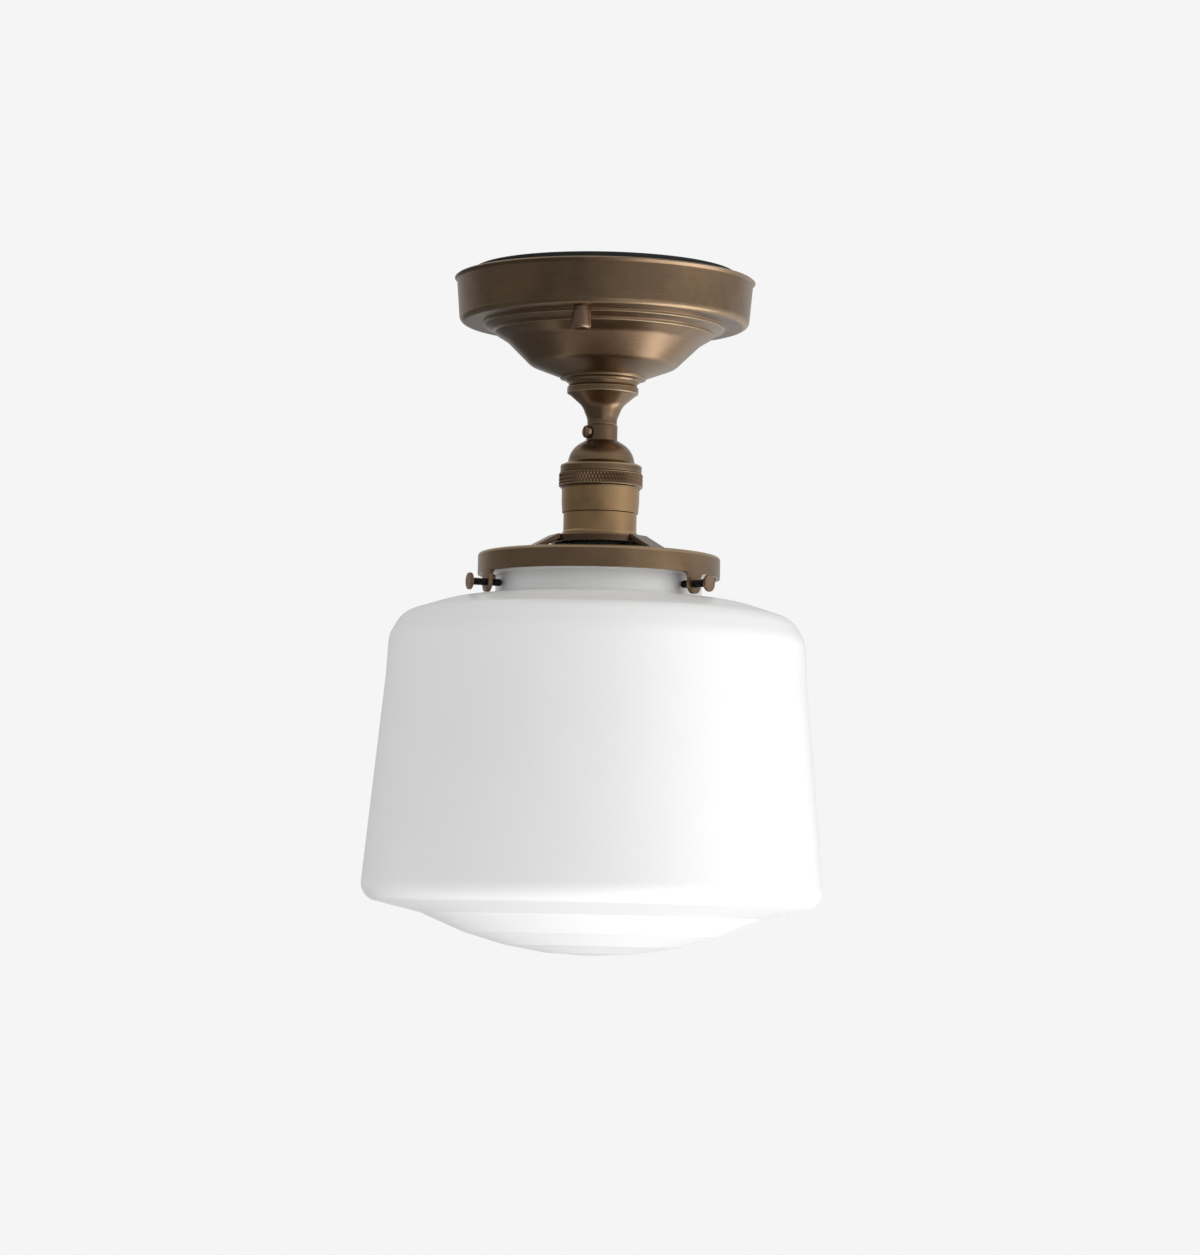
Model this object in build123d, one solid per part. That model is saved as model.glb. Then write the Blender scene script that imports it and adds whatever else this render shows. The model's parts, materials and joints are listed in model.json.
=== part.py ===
from build123d import *
import math
import os

os.makedirs("parts", exist_ok=True)

# Flush mount ceiling light, hanging down from z = 0 at the ceiling, sizes in mm

# Mounting strap and gasket
gasket_radius = 60.0
gasket_width = 9.0
gasket_thickness = 3.0
crossbar_width = 20.0
crossbar_thickness = 2.0
crossbar_overhang = 4.3
crossbar_corner = 3.0
crossbar_hole_radius = 5.25
box_screw_spacing = 79.4
box_slot_length = 14.3
box_slot_width = 4.8
machine_screw_radius = 2.08
locknut_across_flats = 8.7
locknut_height = 3.2
ground_screw_y = 18.0
ground_head_radius = 4.2
ground_head_height = 2.2
ground_screw_grip = 2.2

# Canopy
canopy_radius = 68.6
canopy_drop = 4.1
canopy_height = 46.5
canopy_wall = 1.0
lip_flare = 1.1
side_taper = 1.6
side_height = 20.3
lip_height = 1.3
canopy_corner = 3.0
tread_width = 10.5
ring_1_height = 1.4
ring_1_taper = 0.5
ring_1_tread = 4.6
ring_1_fall = 1.7
ring_2_height = 1.3
ring_2_taper = 0.4
neck_radius = 16.6
neck_step_width = 3.4
neck_rise = 2.4

# Barrel nuts under the canopy
nut_radius = 4.1
nut_foot_radius = 4.5
nut_height = 10.1
nut_neck_radius = 3.3
nut_neck_height = 2.2
nut_gap = 0.3
nut_seat_gap = 0.1
nut_spigot_radius = 2.75
nut_spigot_height = 3.0
nut_hole_clearance = 0.25
nut_floor = 1.5
thread_clearance = 0.07

# Nipple, neck coupling and collar
nipple_radius = 5.1
nipple_bore = 3.8
nipple_above = 14.6
nipple_below = 2.2
nipple_clearance = 0.15
nipple_nut_flats = 14.3
nipple_nut_height = 3.6
lock_washer_thickness = 1.0
lock_washer_radius = 7.6
ground_ring_thickness = 0.8
ground_ring_radius = 7.8
ground_tab_length = 13.0
ground_tab_width = 5.0
coupling_length = 19.5
coupling_bead_radius = 16.25
coupling_groove = 0.8
coupling_waist_radius = 6.75
collar_radius = 7.1
collar_length = 7.2
collar_spigot_radius = 6.2
collar_spigot_length = 1.6
set_screw_angle = 222.0
set_screw_radius = 1.5
set_screw_head_radius = 2.9
set_screw_head_height = 2.0
set_screw_clearance = 0.05
set_screw_slot = 0.7

# Socket
cap_height = 22.1
cap_wall = 0.4
cap_top_radius = 7.4
cap_dome_radius = 15.2
cap_dome_height = 10.1
cap_shoulder_radius = 18.5
cap_knurl_radius = 19.1
cap_knurl_height = 4.8
shell_radius = 17.66
shell_wall = 0.5
shell_engagement = 6.8
shell_upper_length = 11.1
shell_foot_radius = 17.3
shell_lower_radius = 16.65
shell_lower_length = 8.5
shell_bead_radius = 17.0
shell_bead_height = 2.2
skirt_radius = 15.6
skirt_length = 6.3
cap_shell_clearance = 0.04
sleeve_wall = 0.5
sleeve_clearance = 0.1
body_height = 8.5
body_clearance = 0.25
terminal_head_radius = 3.0
terminal_head_height = 1.6
terminal_shank_radius = 1.5
terminal_shank_length = 5.0
lamp_thread_radius = 13.35
screw_shell_wall = 0.4
screw_shell_length = 21.5
contact_hole_radius = 6.0
contact_thickness = 0.5
contact_width = 5.0
contact_drop = 3.2

# Shade holder and its ring nut
hub_radius = 22.3
hub_thickness = 1.6
hub_rim_height = 3.4
hub_clearance = 0.1
ring_nut_radius = 17.3
ring_nut_height = 4.1
ring_nut_clearance = 0.05
holder_radius = 55.0
holder_wall = 1.9
holder_sheet = 1.6
holder_corner = 1.5
flange_width = 17.6
band_height = 9.8
arm_count = 3
arm_width = 12.0
arm_thickness = 2.6
arm_drop = 8.55
first_arm_angle = 92.0
ear_width = 8.3
ear_length = 9.5
ear_fillet = 3.0

# Thumbscrews
thumb_radius = 1.72
thumb_hole_clearance = 0.06
thumb_rise = 4.5
thumb_tip_gap = 0.3
thumb_head_radius = 3.85
thumb_head_thickness = 1.5
thumb_head_gap = 6.6
thumb_seat_depth = 0.8
thumb_end_gap = 0.1

# Glass shade
shade_gap = 0.3
shade_wall = 3.0
shade_lip_gap = 3.9
shade_lip_height = 6.4
shade_lip_step = 2.4
shade_ear_gap = 0.75
shade_shoulder_radius = 94.6
shade_shoulder_drop = 21.5
shade_foot_radius = 104.9
shade_side_height = 115.4
shade_foot_round = 8.5
shade_base_width = 28.1
shade_base_drop = 6.5
shade_bowl_drop = 17.8

# Bulb
bulb_base_radius = 12.95
bulb_base_length = 22.0
bulb_base_wall = 0.35
bulb_contact_radius = 4.6
bulb_contact_height = 1.6
bulb_contact_gap = 0.3
bulb_insulator_radius = 11.2
bulb_insulator_height = 3.6
bulb_neck_clearance = 0.1
bulb_radius = 30.0
bulb_glass_length = 82.8
bulb_glass_wall = 0.8
stem_radius = 3.2
stem_length = 26.0
filament_radius = 0.35
filament_span = 18.0
filament_drop = 11.0

# Leads inside the canopy
lead_radius = 1.1
lead_spacing = 2.8
ground_lead_radius = 1.0
lead_turn = 6.0
connector_radius = 6.5
connector_length = 22.0
connector_start = 20.0
connector_bore_depth = 4.0
lead_height = -20.0

# Heights that follow from the stack
crossbar_top = -gasket_thickness
crossbar_bottom = crossbar_top - crossbar_thickness
side_radius = canopy_radius - lip_flare
tread_radius = side_radius - side_taper
ring_1_radius = tread_radius - tread_width
ring_2_radius = ring_1_radius - ring_1_taper - ring_1_tread
canopy_top = -canopy_drop
tread_z = canopy_top - side_height
ring_1_z = tread_z - ring_1_height
tread_2_z = ring_1_z - ring_1_fall
ring_2_z = tread_2_z - ring_2_height
canopy_bottom = canopy_top - canopy_height
canopy_floor = canopy_bottom + canopy_wall
stud_y = ring_1_radius + nut_gap + nut_neck_radius
crossbar_length = 2 * (stud_y + crossbar_overhang)
nut_top = tread_z - nut_seat_gap
nut_bottom = nut_top - nut_height
nipple_top = canopy_bottom + nipple_above
coupling_bottom = canopy_bottom - coupling_length
collar_bottom = coupling_bottom - collar_length
nipple_bottom = collar_bottom - nipple_below
set_screw_z = coupling_bottom - collar_length / 2
cap_bottom = collar_bottom - cap_height
shell_top = cap_bottom + shell_engagement
shell_step = cap_bottom - shell_upper_length
shell_bead_top = shell_step - shell_lower_length
hub_top = shell_bead_top - shell_bead_height
skirt_bottom = hub_top - skirt_length
body_top = shell_top + 0.6
body_bottom = body_top - body_height
terminal_z = body_top - terminal_head_radius - 0.5
screw_shell_bottom = body_bottom - screw_shell_length
contact_bottom = body_bottom - contact_drop - contact_thickness
hub_bottom = hub_top - hub_thickness
flange_top = hub_top - arm_drop
flange_bottom = flange_top - holder_sheet
band_bottom = flange_top - band_height
ear_bottom = band_bottom - ear_length
band_inner = holder_radius - holder_wall
shade_lip_radius = band_inner - shade_lip_gap
shade_neck_radius = shade_lip_radius - shade_lip_step
thumb_z = ear_bottom + thumb_rise
thumb_tip = shade_neck_radius + thumb_tip_gap
thumb_head_inner = holder_radius + thumb_head_gap
shade_top = flange_bottom - shade_gap
shade_lip_bottom = shade_top - shade_lip_height
shade_shoulder_z = ear_bottom - shade_ear_gap
shade_side_top = shade_shoulder_z - shade_shoulder_drop
shade_foot_z = shade_side_top - shade_side_height
shade_bowl_radius = shade_foot_radius - shade_base_width
shade_bowl_z = shade_foot_z - shade_base_drop
shade_bottom = shade_bowl_z - shade_bowl_drop
bulb_top = contact_bottom - bulb_contact_gap
bulb_insulator_top = bulb_top - bulb_contact_height
bulb_can_top = bulb_insulator_top - bulb_insulator_height + 0.8
bulb_can_bottom = bulb_can_top - bulb_base_length
bulb_glass_top = bulb_can_bottom + 6.0
bulb_bottom = bulb_can_bottom - bulb_glass_length

pieces = {}


def ring(outer, inner, top, bottom):
    return Pos(0, 0, bottom) * extrude(Circle(outer) - Circle(inner), top - bottom)


def rod(radius, top, bottom):
    return Pos(0, 0, bottom) * extrude(Circle(radius), top - bottom)


def nut(across_flats, hole, top, bottom):
    hexagon = RegularPolygon(across_flats / 2, 6, major_radius=False)
    return Pos(0, 0, bottom) * extrude(hexagon - Circle(hole), top - bottom)


def spun(points):
    return revolve(Plane.XZ * make_face(Polyline(*points, close=True)), Axis.Z)


def spun_round(points, radii):
    outline = FilletPolyline(*points, radius=radii)
    closing = Line(outline @ 1, outline @ 0)
    return revolve(Plane.XZ * make_face(outline + closing), Axis.Z)


def inner_line(points, radii, wall):
    # the line moved to its right by the wall, with its corner radii to match
    steps = [Vector(*end) - Vector(*start) for start, end in zip(points, points[1:])]
    sides = [Vector(step.Y, -step.X).normalized() for step in steps]
    moved = [Vector(*points[0]) + sides[0] * wall]
    moved_radii = []
    for corner, before, after, radius in zip(points[1:-1], sides, sides[1:], radii):
        shift = (before + after) * (wall / (1 + before.dot(after)))
        moved.append(Vector(*corner) + shift)
        turn = before.X * after.Y - before.Y * after.X
        moved_radii.append(max(radius + math.copysign(wall, turn), 0.05))
    moved.append(Vector(*points[-1]) + sides[-1] * wall)
    return moved, moved_radii


def spun_sheet(points, radii, wall):
    # sheet of even thickness inside an outer line
    outer = FilletPolyline(*points, radius=radii)
    inner_points, inner_radii = inner_line(points, radii, wall)
    inner = FilletPolyline(*inner_points, radius=inner_radii)
    edge = Line(outer @ 0, inner @ 0)
    end = Line(outer @ 1, inner @ 1)
    return revolve(Plane.XZ * make_face(outer + end + inner + edge), Axis.Z)


def outward(shape, angle, height):
    # from standing on z to lying along the radius at an angle
    return Rot(0, 0, angle) * Pos(0, 0, height) * Rot(0, 90, 0) * shape


def wire(points, radii, thickness):
    route = FilletPolyline(*points, radius=radii)
    start = Plane(origin=route @ 0, z_dir=route % 0)
    return sweep(start * Circle(thickness), path=route)


# Ceiling gasket
pieces["ceiling_gasket"] = ring(gasket_radius, gasket_radius - gasket_width, 0, crossbar_top)

# Crossbar
strap = fillet(Rectangle(crossbar_width, crossbar_length).vertices(), crossbar_corner)
for side in (-1, 1):
    slot = Rot(0, 0, 90) * SlotOverall(box_slot_length, box_slot_width)
    strap -= Pos(0, side * box_screw_spacing / 2) * slot
    strap -= Pos(0, side * stud_y) * Circle(machine_screw_radius)
strap -= Circle(crossbar_hole_radius)
strap -= Pos(0, ground_screw_y) * Circle(machine_screw_radius)
pieces["crossbar"] = Pos(0, 0, crossbar_bottom) * extrude(strap, crossbar_thickness)

# Canopy studs and their locknuts
stud_bottom = nut_bottom + nut_floor + 0.8
stud = rod(machine_screw_radius, crossbar_top, stud_bottom)
stud = chamfer(stud.edges().group_by(Axis.Z)[0], 0.4)
locknut = nut(
    locknut_across_flats,
    machine_screw_radius,
    crossbar_bottom,
    crossbar_bottom - locknut_height,
)
for number, side in ((1, -1), (2, 1)):
    pieces[f"canopy_stud_{number}"] = Pos(0, side * stud_y, 0) * stud
    pieces[f"stud_locknut_{number}"] = Pos(0, side * stud_y, 0) * locknut

# Ground screw
ground_head_top = crossbar_bottom - ground_screw_grip
ground_screw = rod(machine_screw_radius, crossbar_top, ground_head_top)
ground_screw += rod(
    ground_head_radius,
    ground_head_top,
    ground_head_top - ground_head_height,
)
pieces["ground_screw"] = Pos(0, ground_screw_y, 0) * ground_screw

# Canopy, from its lip over the side, the tread, two rings and the bowl to the neck
neck_foot = neck_radius + neck_step_width
bowl_foot_z = canopy_bottom + neck_rise
bowl_width = ring_2_radius - ring_2_taper - neck_foot
bowl_depth = ring_2_z - bowl_foot_z
canopy_line = [
    (canopy_radius, canopy_top),
    (side_radius, canopy_top - lip_height),
    (tread_radius, tread_z),
    (ring_1_radius, tread_z),
    (ring_1_radius - ring_1_taper, ring_1_z),
    (ring_2_radius, tread_2_z),
    (ring_2_radius - ring_2_taper, ring_2_z),
    (neck_foot + bowl_width * 0.813, ring_2_z - bowl_depth * 0.18),
    (neck_foot + bowl_width * 0.442, ring_2_z - bowl_depth * 0.742),
    (neck_foot, bowl_foot_z),
    (neck_foot - 0.5, bowl_foot_z - 1.0),
    (neck_radius + 0.6, bowl_foot_z - 1.5),
    (neck_radius, canopy_bottom),
    (nipple_radius + nipple_clearance, canopy_bottom),
]
canopy_radii = [0.5, canopy_corner, 0.5, 0.4, 0.6, 0.4, 9, 8, 0.4, 0.3, 0.3, 0.3]
canopy = spun_sheet(canopy_line, canopy_radii, canopy_wall)
for side in (-1, 1):
    hole = rod(nut_spigot_radius + nut_hole_clearance, tread_z + 5, tread_z - 5)
    canopy -= Pos(0, side * stud_y, 0) * hole
pieces["canopy"] = canopy

# Barrel nuts
barrel_top = nut_top - nut_neck_height
barrel = spun_round(
    [(0, barrel_top), (nut_radius, barrel_top), (nut_foot_radius, nut_bottom), (0, nut_bottom)],
    [0.3, 1.4],
)
barrel += rod(nut_neck_radius, nut_top, nut_top - nut_neck_height)
barrel += rod(nut_spigot_radius, nut_top + nut_spigot_height, nut_top)
bore = machine_screw_radius + thread_clearance
barrel -= rod(bore, nut_top + nut_spigot_height, nut_bottom + nut_floor)
for number, side in ((1, -1), (2, 1)):
    pieces[f"canopy_nut_{number}"] = Pos(0, side * stud_y, 0) * barrel

# Nipple with the ground ring, lock washer and locknut above the canopy's floor
pieces["nipple"] = ring(nipple_radius, nipple_bore, nipple_top, nipple_bottom)
ground_ring_top = canopy_floor + ground_ring_thickness
washer_top = ground_ring_top + lock_washer_thickness
nipple_nut_top = washer_top + nipple_nut_height
tab = Pos(0, ground_tab_length / 2) * Rectangle(ground_tab_width, ground_tab_length)
eyelet = Circle(ground_ring_radius) + tab - Circle(nipple_radius)
pieces["ground_ring"] = Pos(0, 0, canopy_floor) * extrude(eyelet, ground_ring_thickness)
pieces["lock_washer"] = ring(lock_washer_radius, nipple_radius, washer_top, ground_ring_top)
pieces["nipple_locknut"] = nut(nipple_nut_flats, nipple_radius, nipple_nut_top, washer_top)

# Neck coupling, a turned bead that runs into a narrow waist
bead_z = canopy_bottom - 2.6
pieces["neck_coupling"] = spun_round(
    [
        (nipple_radius, canopy_bottom),
        (coupling_bead_radius - 0.3, canopy_bottom),
        (coupling_bead_radius - coupling_groove, bead_z + 1.1),
        (coupling_bead_radius, bead_z),
        (coupling_bead_radius, bead_z - 2.6),
        (coupling_bead_radius - 1.2, bead_z - 3.2),
        (coupling_bead_radius - 7.0, bead_z - 8.2),
        (coupling_waist_radius, coupling_bottom + 2.6),
        (coupling_waist_radius, coupling_bottom),
        (nipple_radius, coupling_bottom),
    ],
    [0.2, 0.4, 0.5, 0.5, 0.4, 8, 5, 0.2],
)

# Collar with its set screw
collar = ring(collar_radius, nipple_radius, coupling_bottom, collar_bottom)
collar_rims = collar.edges().filter_by(GeomType.CIRCLE).group_by(Axis.Z)[-1]
collar = chamfer(collar_rims.sort_by(SortBy.RADIUS)[-1], 0.4)
collar += ring(collar_spigot_radius, nipple_radius, collar_bottom, collar_bottom - collar_spigot_length)
screw_hole = rod(set_screw_radius + set_screw_clearance, collar_radius + 2, nipple_radius - 0.5)
collar -= outward(screw_hole, set_screw_angle, set_screw_z)
pieces["socket_collar"] = collar
set_screw = rod(set_screw_radius, collar_radius + 0.1, nipple_radius + 0.1)
set_head = rod(
    set_screw_head_radius,
    collar_radius + 0.1 + set_screw_head_height,
    collar_radius + 0.1,
)
set_head = fillet(set_head.edges().group_by(Axis.Z)[-1], set_screw_head_height * 0.45)
slot_cut = Pos(0, 0, collar_radius + set_screw_head_height) * Box(
    2 * set_screw_head_radius, set_screw_slot, set_screw_head_height
)
set_screw = set_screw + set_head - slot_cut
pieces["set_screw"] = outward(set_screw, set_screw_angle, set_screw_z)

# Socket cap
cap_lip_radius = shell_radius + cap_shell_clearance + cap_wall
cap_line = [
    (collar_spigot_radius, collar_bottom),
    (cap_top_radius, collar_bottom),
    (cap_dome_radius - 1.1, collar_bottom - cap_dome_height * 0.4),
    (cap_dome_radius, collar_bottom - cap_dome_height),
    (cap_shoulder_radius, collar_bottom - cap_dome_height - 1.4),
    (cap_shoulder_radius, cap_bottom + cap_knurl_height + 2.1),
    (cap_knurl_radius, cap_bottom + cap_knurl_height + 1.6),
    (cap_knurl_radius, cap_bottom + 1.6),
    (cap_lip_radius, cap_bottom + 0.5),
    (cap_lip_radius, cap_bottom),
]
cap_radii = [0.4, 11, 0.8, 0.9, 0.3, 0.3, 0.4, 0.3]
pieces["socket_cap"] = spun_sheet(cap_line, cap_radii, cap_wall)

# Socket shell, stepped, with a rolled bead and a threaded skirt
shell_line = [
    (shell_radius, shell_top),
    (shell_radius, cap_bottom - 5.5),
    (shell_foot_radius, shell_step),
    (shell_lower_radius, shell_step - 0.35),
    (shell_lower_radius, shell_bead_top),
    (shell_bead_radius, shell_bead_top - 0.45),
    (shell_bead_radius, hub_top),
    (skirt_radius, hub_top),
    (skirt_radius, skirt_bottom),
]
shell_radii = [20, 0.2, 0.2, 0.3, 0.4, 0.6, hub_clearance * 0.8]
pieces["socket_shell"] = spun_sheet(shell_line, shell_radii, shell_wall)

# Insulating sleeve inside the shell
sleeve_outer = skirt_radius - shell_wall - sleeve_clearance
sleeve_inner = sleeve_outer - sleeve_wall
sleeve_top = terminal_z - terminal_head_radius - 0.4
pieces["insulating_sleeve"] = ring(sleeve_outer, sleeve_inner, sleeve_top, skirt_bottom + 0.5)

# Socket body with its terminal screws
body_radius = sleeve_inner - body_clearance
socket_body = rod(body_radius, body_top, body_bottom)
socket_body = chamfer(socket_body.edges(), 0.4)
terminal_head_start = body_radius + 0.1
terminal = rod(terminal_shank_radius, terminal_head_start, body_radius - terminal_shank_length)
terminal_head = rod(
    terminal_head_radius,
    terminal_head_start + terminal_head_height,
    terminal_head_start,
)
terminal += chamfer(terminal_head.edges().group_by(Axis.Z)[-1], 0.3)
screw_seat = rod(terminal_shank_radius, body_radius + 2, body_radius - terminal_shank_length)
for name, angle in (("hot_terminal", 180), ("neutral_terminal", 0)):
    pieces[name] = outward(terminal, angle, terminal_z)
    socket_body -= outward(screw_seat, angle, terminal_z)
pieces["socket_body"] = socket_body

# Lamp screw shell and the centre contact
screw_shell_outer = lamp_thread_radius + screw_shell_wall
screw_shell = ring(screw_shell_outer, lamp_thread_radius, body_bottom, screw_shell_bottom)
screw_shell += ring(
    screw_shell_outer, contact_hole_radius, body_bottom, body_bottom - screw_shell_wall
)
pieces["screw_shell"] = screw_shell
tongue = Polyline(
    (-4.6, body_bottom),
    (-1.8, body_bottom),
    (2.0, body_bottom - contact_drop),
    (4.0, body_bottom - contact_drop),
    (4.0, body_bottom - contact_drop - contact_thickness),
    (1.6, body_bottom - contact_drop - contact_thickness),
    (-2.2, body_bottom - contact_thickness),
    (-4.6, body_bottom - contact_thickness),
    close=True,
)
pieces["centre_contact"] = extrude(Plane.XZ * make_face(tongue), contact_width / 2, both=True)

# Ring nut that holds the shade holder's hub on the skirt
ring_nut = ring(
    ring_nut_radius,
    skirt_radius + ring_nut_clearance,
    hub_bottom,
    hub_bottom - ring_nut_height,
)
pieces["shade_ring_nut"] = ring_nut

# Shade holder: hub, arms, band and ears in one casting
hub_hole = skirt_radius + hub_clearance
hub_bottom_rim = hub_top - hub_rim_height
holder = spun_round(
    [
        (hub_hole, hub_top),
        (hub_radius, hub_top),
        (hub_radius, hub_bottom_rim),
        (hub_radius - holder_sheet, hub_bottom_rim),
        (hub_radius - holder_sheet, hub_bottom),
        (hub_hole, hub_bottom),
    ],
    [0.6, 0.3, 0.3, 0.3],
)
flange_inner = holder_radius - flange_width
skirt_end = ear_bottom - 1
holder += spun_round(
    [
        (flange_inner, flange_top),
        (holder_radius, flange_top),
        (holder_radius, skirt_end),
        (band_inner, skirt_end),
        (band_inner, flange_bottom),
        (flange_inner, flange_bottom),
    ],
    [holder_corner, 0.3, 0.3, 0.5],
)
arm_line = [
    (hub_radius - 1.4, hub_top),
    (hub_radius, hub_top),
    (flange_inner + 0.6, flange_top),
    (flange_inner + 2.0, flange_top),
    (flange_inner + 2.0, flange_bottom),
    (flange_inner - 1.2, flange_bottom),
    (hub_radius - 0.4, hub_top - arm_thickness),
    (hub_radius - 1.4, hub_top - arm_thickness),
]
arm = extrude(Plane.XZ * make_face(Polyline(*arm_line, close=True)), arm_width / 2, both=True)
ear_round = ear_width / 2
ear_face = Pos(0, band_bottom + 0.5) * Rectangle(2 * ear_width, 1)
ear_face += Pos(0, ear_bottom + ear_round) * Circle(ear_round)
straight = band_bottom - ear_bottom - ear_round
ear_face += Pos(0, band_bottom - straight / 2) * Rectangle(ear_width, straight)
inner_corners = [
    vertex
    for vertex in ear_face.vertices()
    if abs(vertex.Y - band_bottom) < 0.01 and abs(abs(vertex.X) - ear_round) < 0.01
]
ear_face = fillet(inner_corners, ear_fillet)
ear = extrude(Plane.YZ * ear_face, holder_radius + 5)
thumb_hole = rod(thumb_radius + thumb_hole_clearance, holder_radius + 5, band_inner - 5)
arm_angles = [first_arm_angle + 360 / arm_count * index for index in range(arm_count)]
below_band = ring(holder_radius + 2, band_inner - 2, band_bottom, skirt_end - 1)
for angle in arm_angles:
    below_band -= Rot(0, 0, angle) * ear
holder -= below_band
for angle in arm_angles:
    holder += Rot(0, 0, angle) * arm
    holder -= outward(thumb_hole, angle, thumb_z)
pieces["shade_holder"] = holder

# Thumbscrews: a black shank with a knurled head on its outer end
shank = rod(thumb_radius, thumb_head_inner + thumb_seat_depth, thumb_tip)
shank = fillet(shank.edges().group_by(Axis.Z)[0], thumb_radius * 0.8)
head = rod(thumb_head_radius, thumb_head_inner + thumb_head_thickness, thumb_head_inner)
head = fillet(head.edges().group_by(Axis.Z)[-1], 0.3)
head -= rod(
    thumb_radius + thumb_hole_clearance,
    thumb_head_inner + thumb_seat_depth + thumb_end_gap,
    thumb_head_inner,
)
for number, angle in enumerate(arm_angles, 1):
    pieces[f"thumb_shank_{number}"] = outward(shank, angle, thumb_z)
    pieces[f"thumb_head_{number}"] = outward(head, angle, thumb_z)

# Opal glass shade: lip, neck, shoulder, tapered side, sloping base and bowl
shoulder_width = shade_shoulder_radius - shade_neck_radius
bowl_corner = (shade_bowl_radius**2 + shade_bowl_drop**2) / (2 * shade_bowl_radius)
bowl_curve = (shade_bowl_radius**2 + shade_bowl_drop**2) / (2 * shade_bowl_drop)
shade_line = [
    (shade_lip_radius, shade_top),
    (shade_lip_radius, shade_lip_bottom),
    (shade_neck_radius, shade_lip_bottom - 1.4),
    (shade_neck_radius, shade_shoulder_z),
    (shade_neck_radius + shoulder_width * 0.4, shade_shoulder_z - 0.9),
    (shade_shoulder_radius - 6.0, shade_shoulder_z - 8.2),
    (shade_shoulder_radius - 0.2, shade_side_top + 3.3),
    (shade_shoulder_radius + 0.8, shade_side_top - 15.0),
    (shade_foot_radius, shade_foot_z),
    (shade_bowl_radius, shade_bowl_z),
    (bowl_corner, shade_bottom),
    (0, shade_bottom),
]
shade_radii = [1.2, 1.2, 2.4, 50, 12, 12, 60, shade_foot_round, 2.0, bowl_curve * 0.95]
pieces["glass_shade"] = spun_sheet(shade_line, shade_radii, shade_wall)

# Bulb
contact = rod(bulb_contact_radius, bulb_top, bulb_insulator_top)
pieces["bulb_contact"] = chamfer(contact.edges().group_by(Axis.Z)[-1], 0.6)
insulator_bottom = bulb_insulator_top - bulb_insulator_height
pieces["bulb_insulator"] = spun(
    [
        (0, bulb_insulator_top),
        (bulb_contact_radius + 0.6, bulb_insulator_top),
        (bulb_insulator_radius, bulb_can_top + 0.4),
        (bulb_insulator_radius, insulator_bottom),
        (0, insulator_bottom),
    ]
)
can_inner = bulb_base_radius - bulb_base_wall
pieces["bulb_base"] = spun(
    [
        (bulb_insulator_radius, bulb_can_top),
        (bulb_base_radius - 0.9, bulb_can_top),
        (bulb_base_radius, bulb_can_top - 1.3),
        (bulb_base_radius, bulb_can_bottom),
        (can_inner, bulb_can_bottom),
        (can_inner, bulb_can_top - 1.5),
        (can_inner - 0.8, bulb_can_top - bulb_base_wall),
        (bulb_insulator_radius, bulb_can_top - bulb_base_wall),
    ]
)
bulb_neck = can_inner - bulb_neck_clearance
pieces["bulb_glass"] = spun_sheet(
    [
        (bulb_neck, bulb_glass_top),
        (bulb_neck, bulb_can_bottom - 3.0),
        (bulb_radius, bulb_can_bottom - 36.0),
        (bulb_radius, bulb_bottom),
        (0, bulb_bottom),
    ],
    [20, 40, bulb_radius - 0.5],
    bulb_glass_wall,
)
stem_flare = bulb_neck - bulb_glass_wall
stem_bottom = bulb_glass_top - stem_length
pieces["bulb_stem"] = spun(
    [
        (0, bulb_glass_top),
        (stem_flare, bulb_glass_top),
        (stem_flare, bulb_glass_top - 1.2),
        (stem_radius + 2, bulb_glass_top - 5),
        (stem_radius, bulb_glass_top - 10),
        (stem_radius, stem_bottom),
        (0, stem_bottom),
    ]
)
filament_z = stem_bottom - filament_drop
pieces["bulb_filament"] = wire(
    [
        (-stem_radius / 2, 0, stem_bottom),
        (-stem_radius / 2, 0, stem_bottom - 2.5),
        (-filament_span / 2, 0, filament_z),
        (filament_span / 2, 0, filament_z),
        (stem_radius / 2, 0, stem_bottom - 2.5),
        (stem_radius / 2, 0, stem_bottom),
    ],
    [1.5, 1.5, 1.5, 1.5],
    filament_radius,
)

# Leads from the terminals up through the nipple into the two wire connectors
terminal_x = body_radius + lead_radius + 0.1
connector = rod(connector_radius, connector_start + connector_length, connector_start)
connector = chamfer(connector.edges().group_by(Axis.Z)[-1], 2.0)
connector = fillet(connector.edges().group_by(Axis.Z)[0], 0.8)
connector -= rod(lead_radius, connector_start + connector_bore_depth, connector_start)
lead_end = connector_start + connector_bore_depth
for name, number, side in (("hot_lead", 1, -1), ("neutral_lead", 2, 1)):
    inner_x = side * lead_spacing / 2
    pieces[name] = wire(
        [
            (side * terminal_x, 0, terminal_z + terminal_head_radius),
            (side * terminal_x, 0, terminal_z + terminal_head_radius + 2.4),
            (inner_x, 0, nipple_bottom - 2.6),
            (inner_x, 0, lead_height),
            (side * lead_end, 0, lead_height),
        ],
        [1.6, 4.0, lead_turn],
        lead_radius,
    )
    angle = 180 if side < 0 else 0
    pieces[f"wire_connector_{number}"] = outward(connector, angle, lead_height)

# Ground lead from the ground screw down to the tab of the ground ring
ground_y = ground_screw_y + machine_screw_radius
clamp_z = crossbar_bottom - ground_lead_radius - 0.1
tab_z = ground_ring_top + ground_lead_radius
tab_start = nipple_nut_flats / math.sqrt(3) + ground_lead_radius + 0.4
pieces["ground_lead"] = wire(
    [
        (0, ground_y + 0.05, clamp_z),
        (0, ground_y + 7.5, clamp_z),
        (0, ground_y + 7.5, clamp_z - 27.0),
        (0, ground_tab_length + 2.0, tab_z),
        (0, tab_start, tab_z),
    ],
    [4.0, 9.0, 3.0],
    ground_lead_radius,
)

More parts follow.
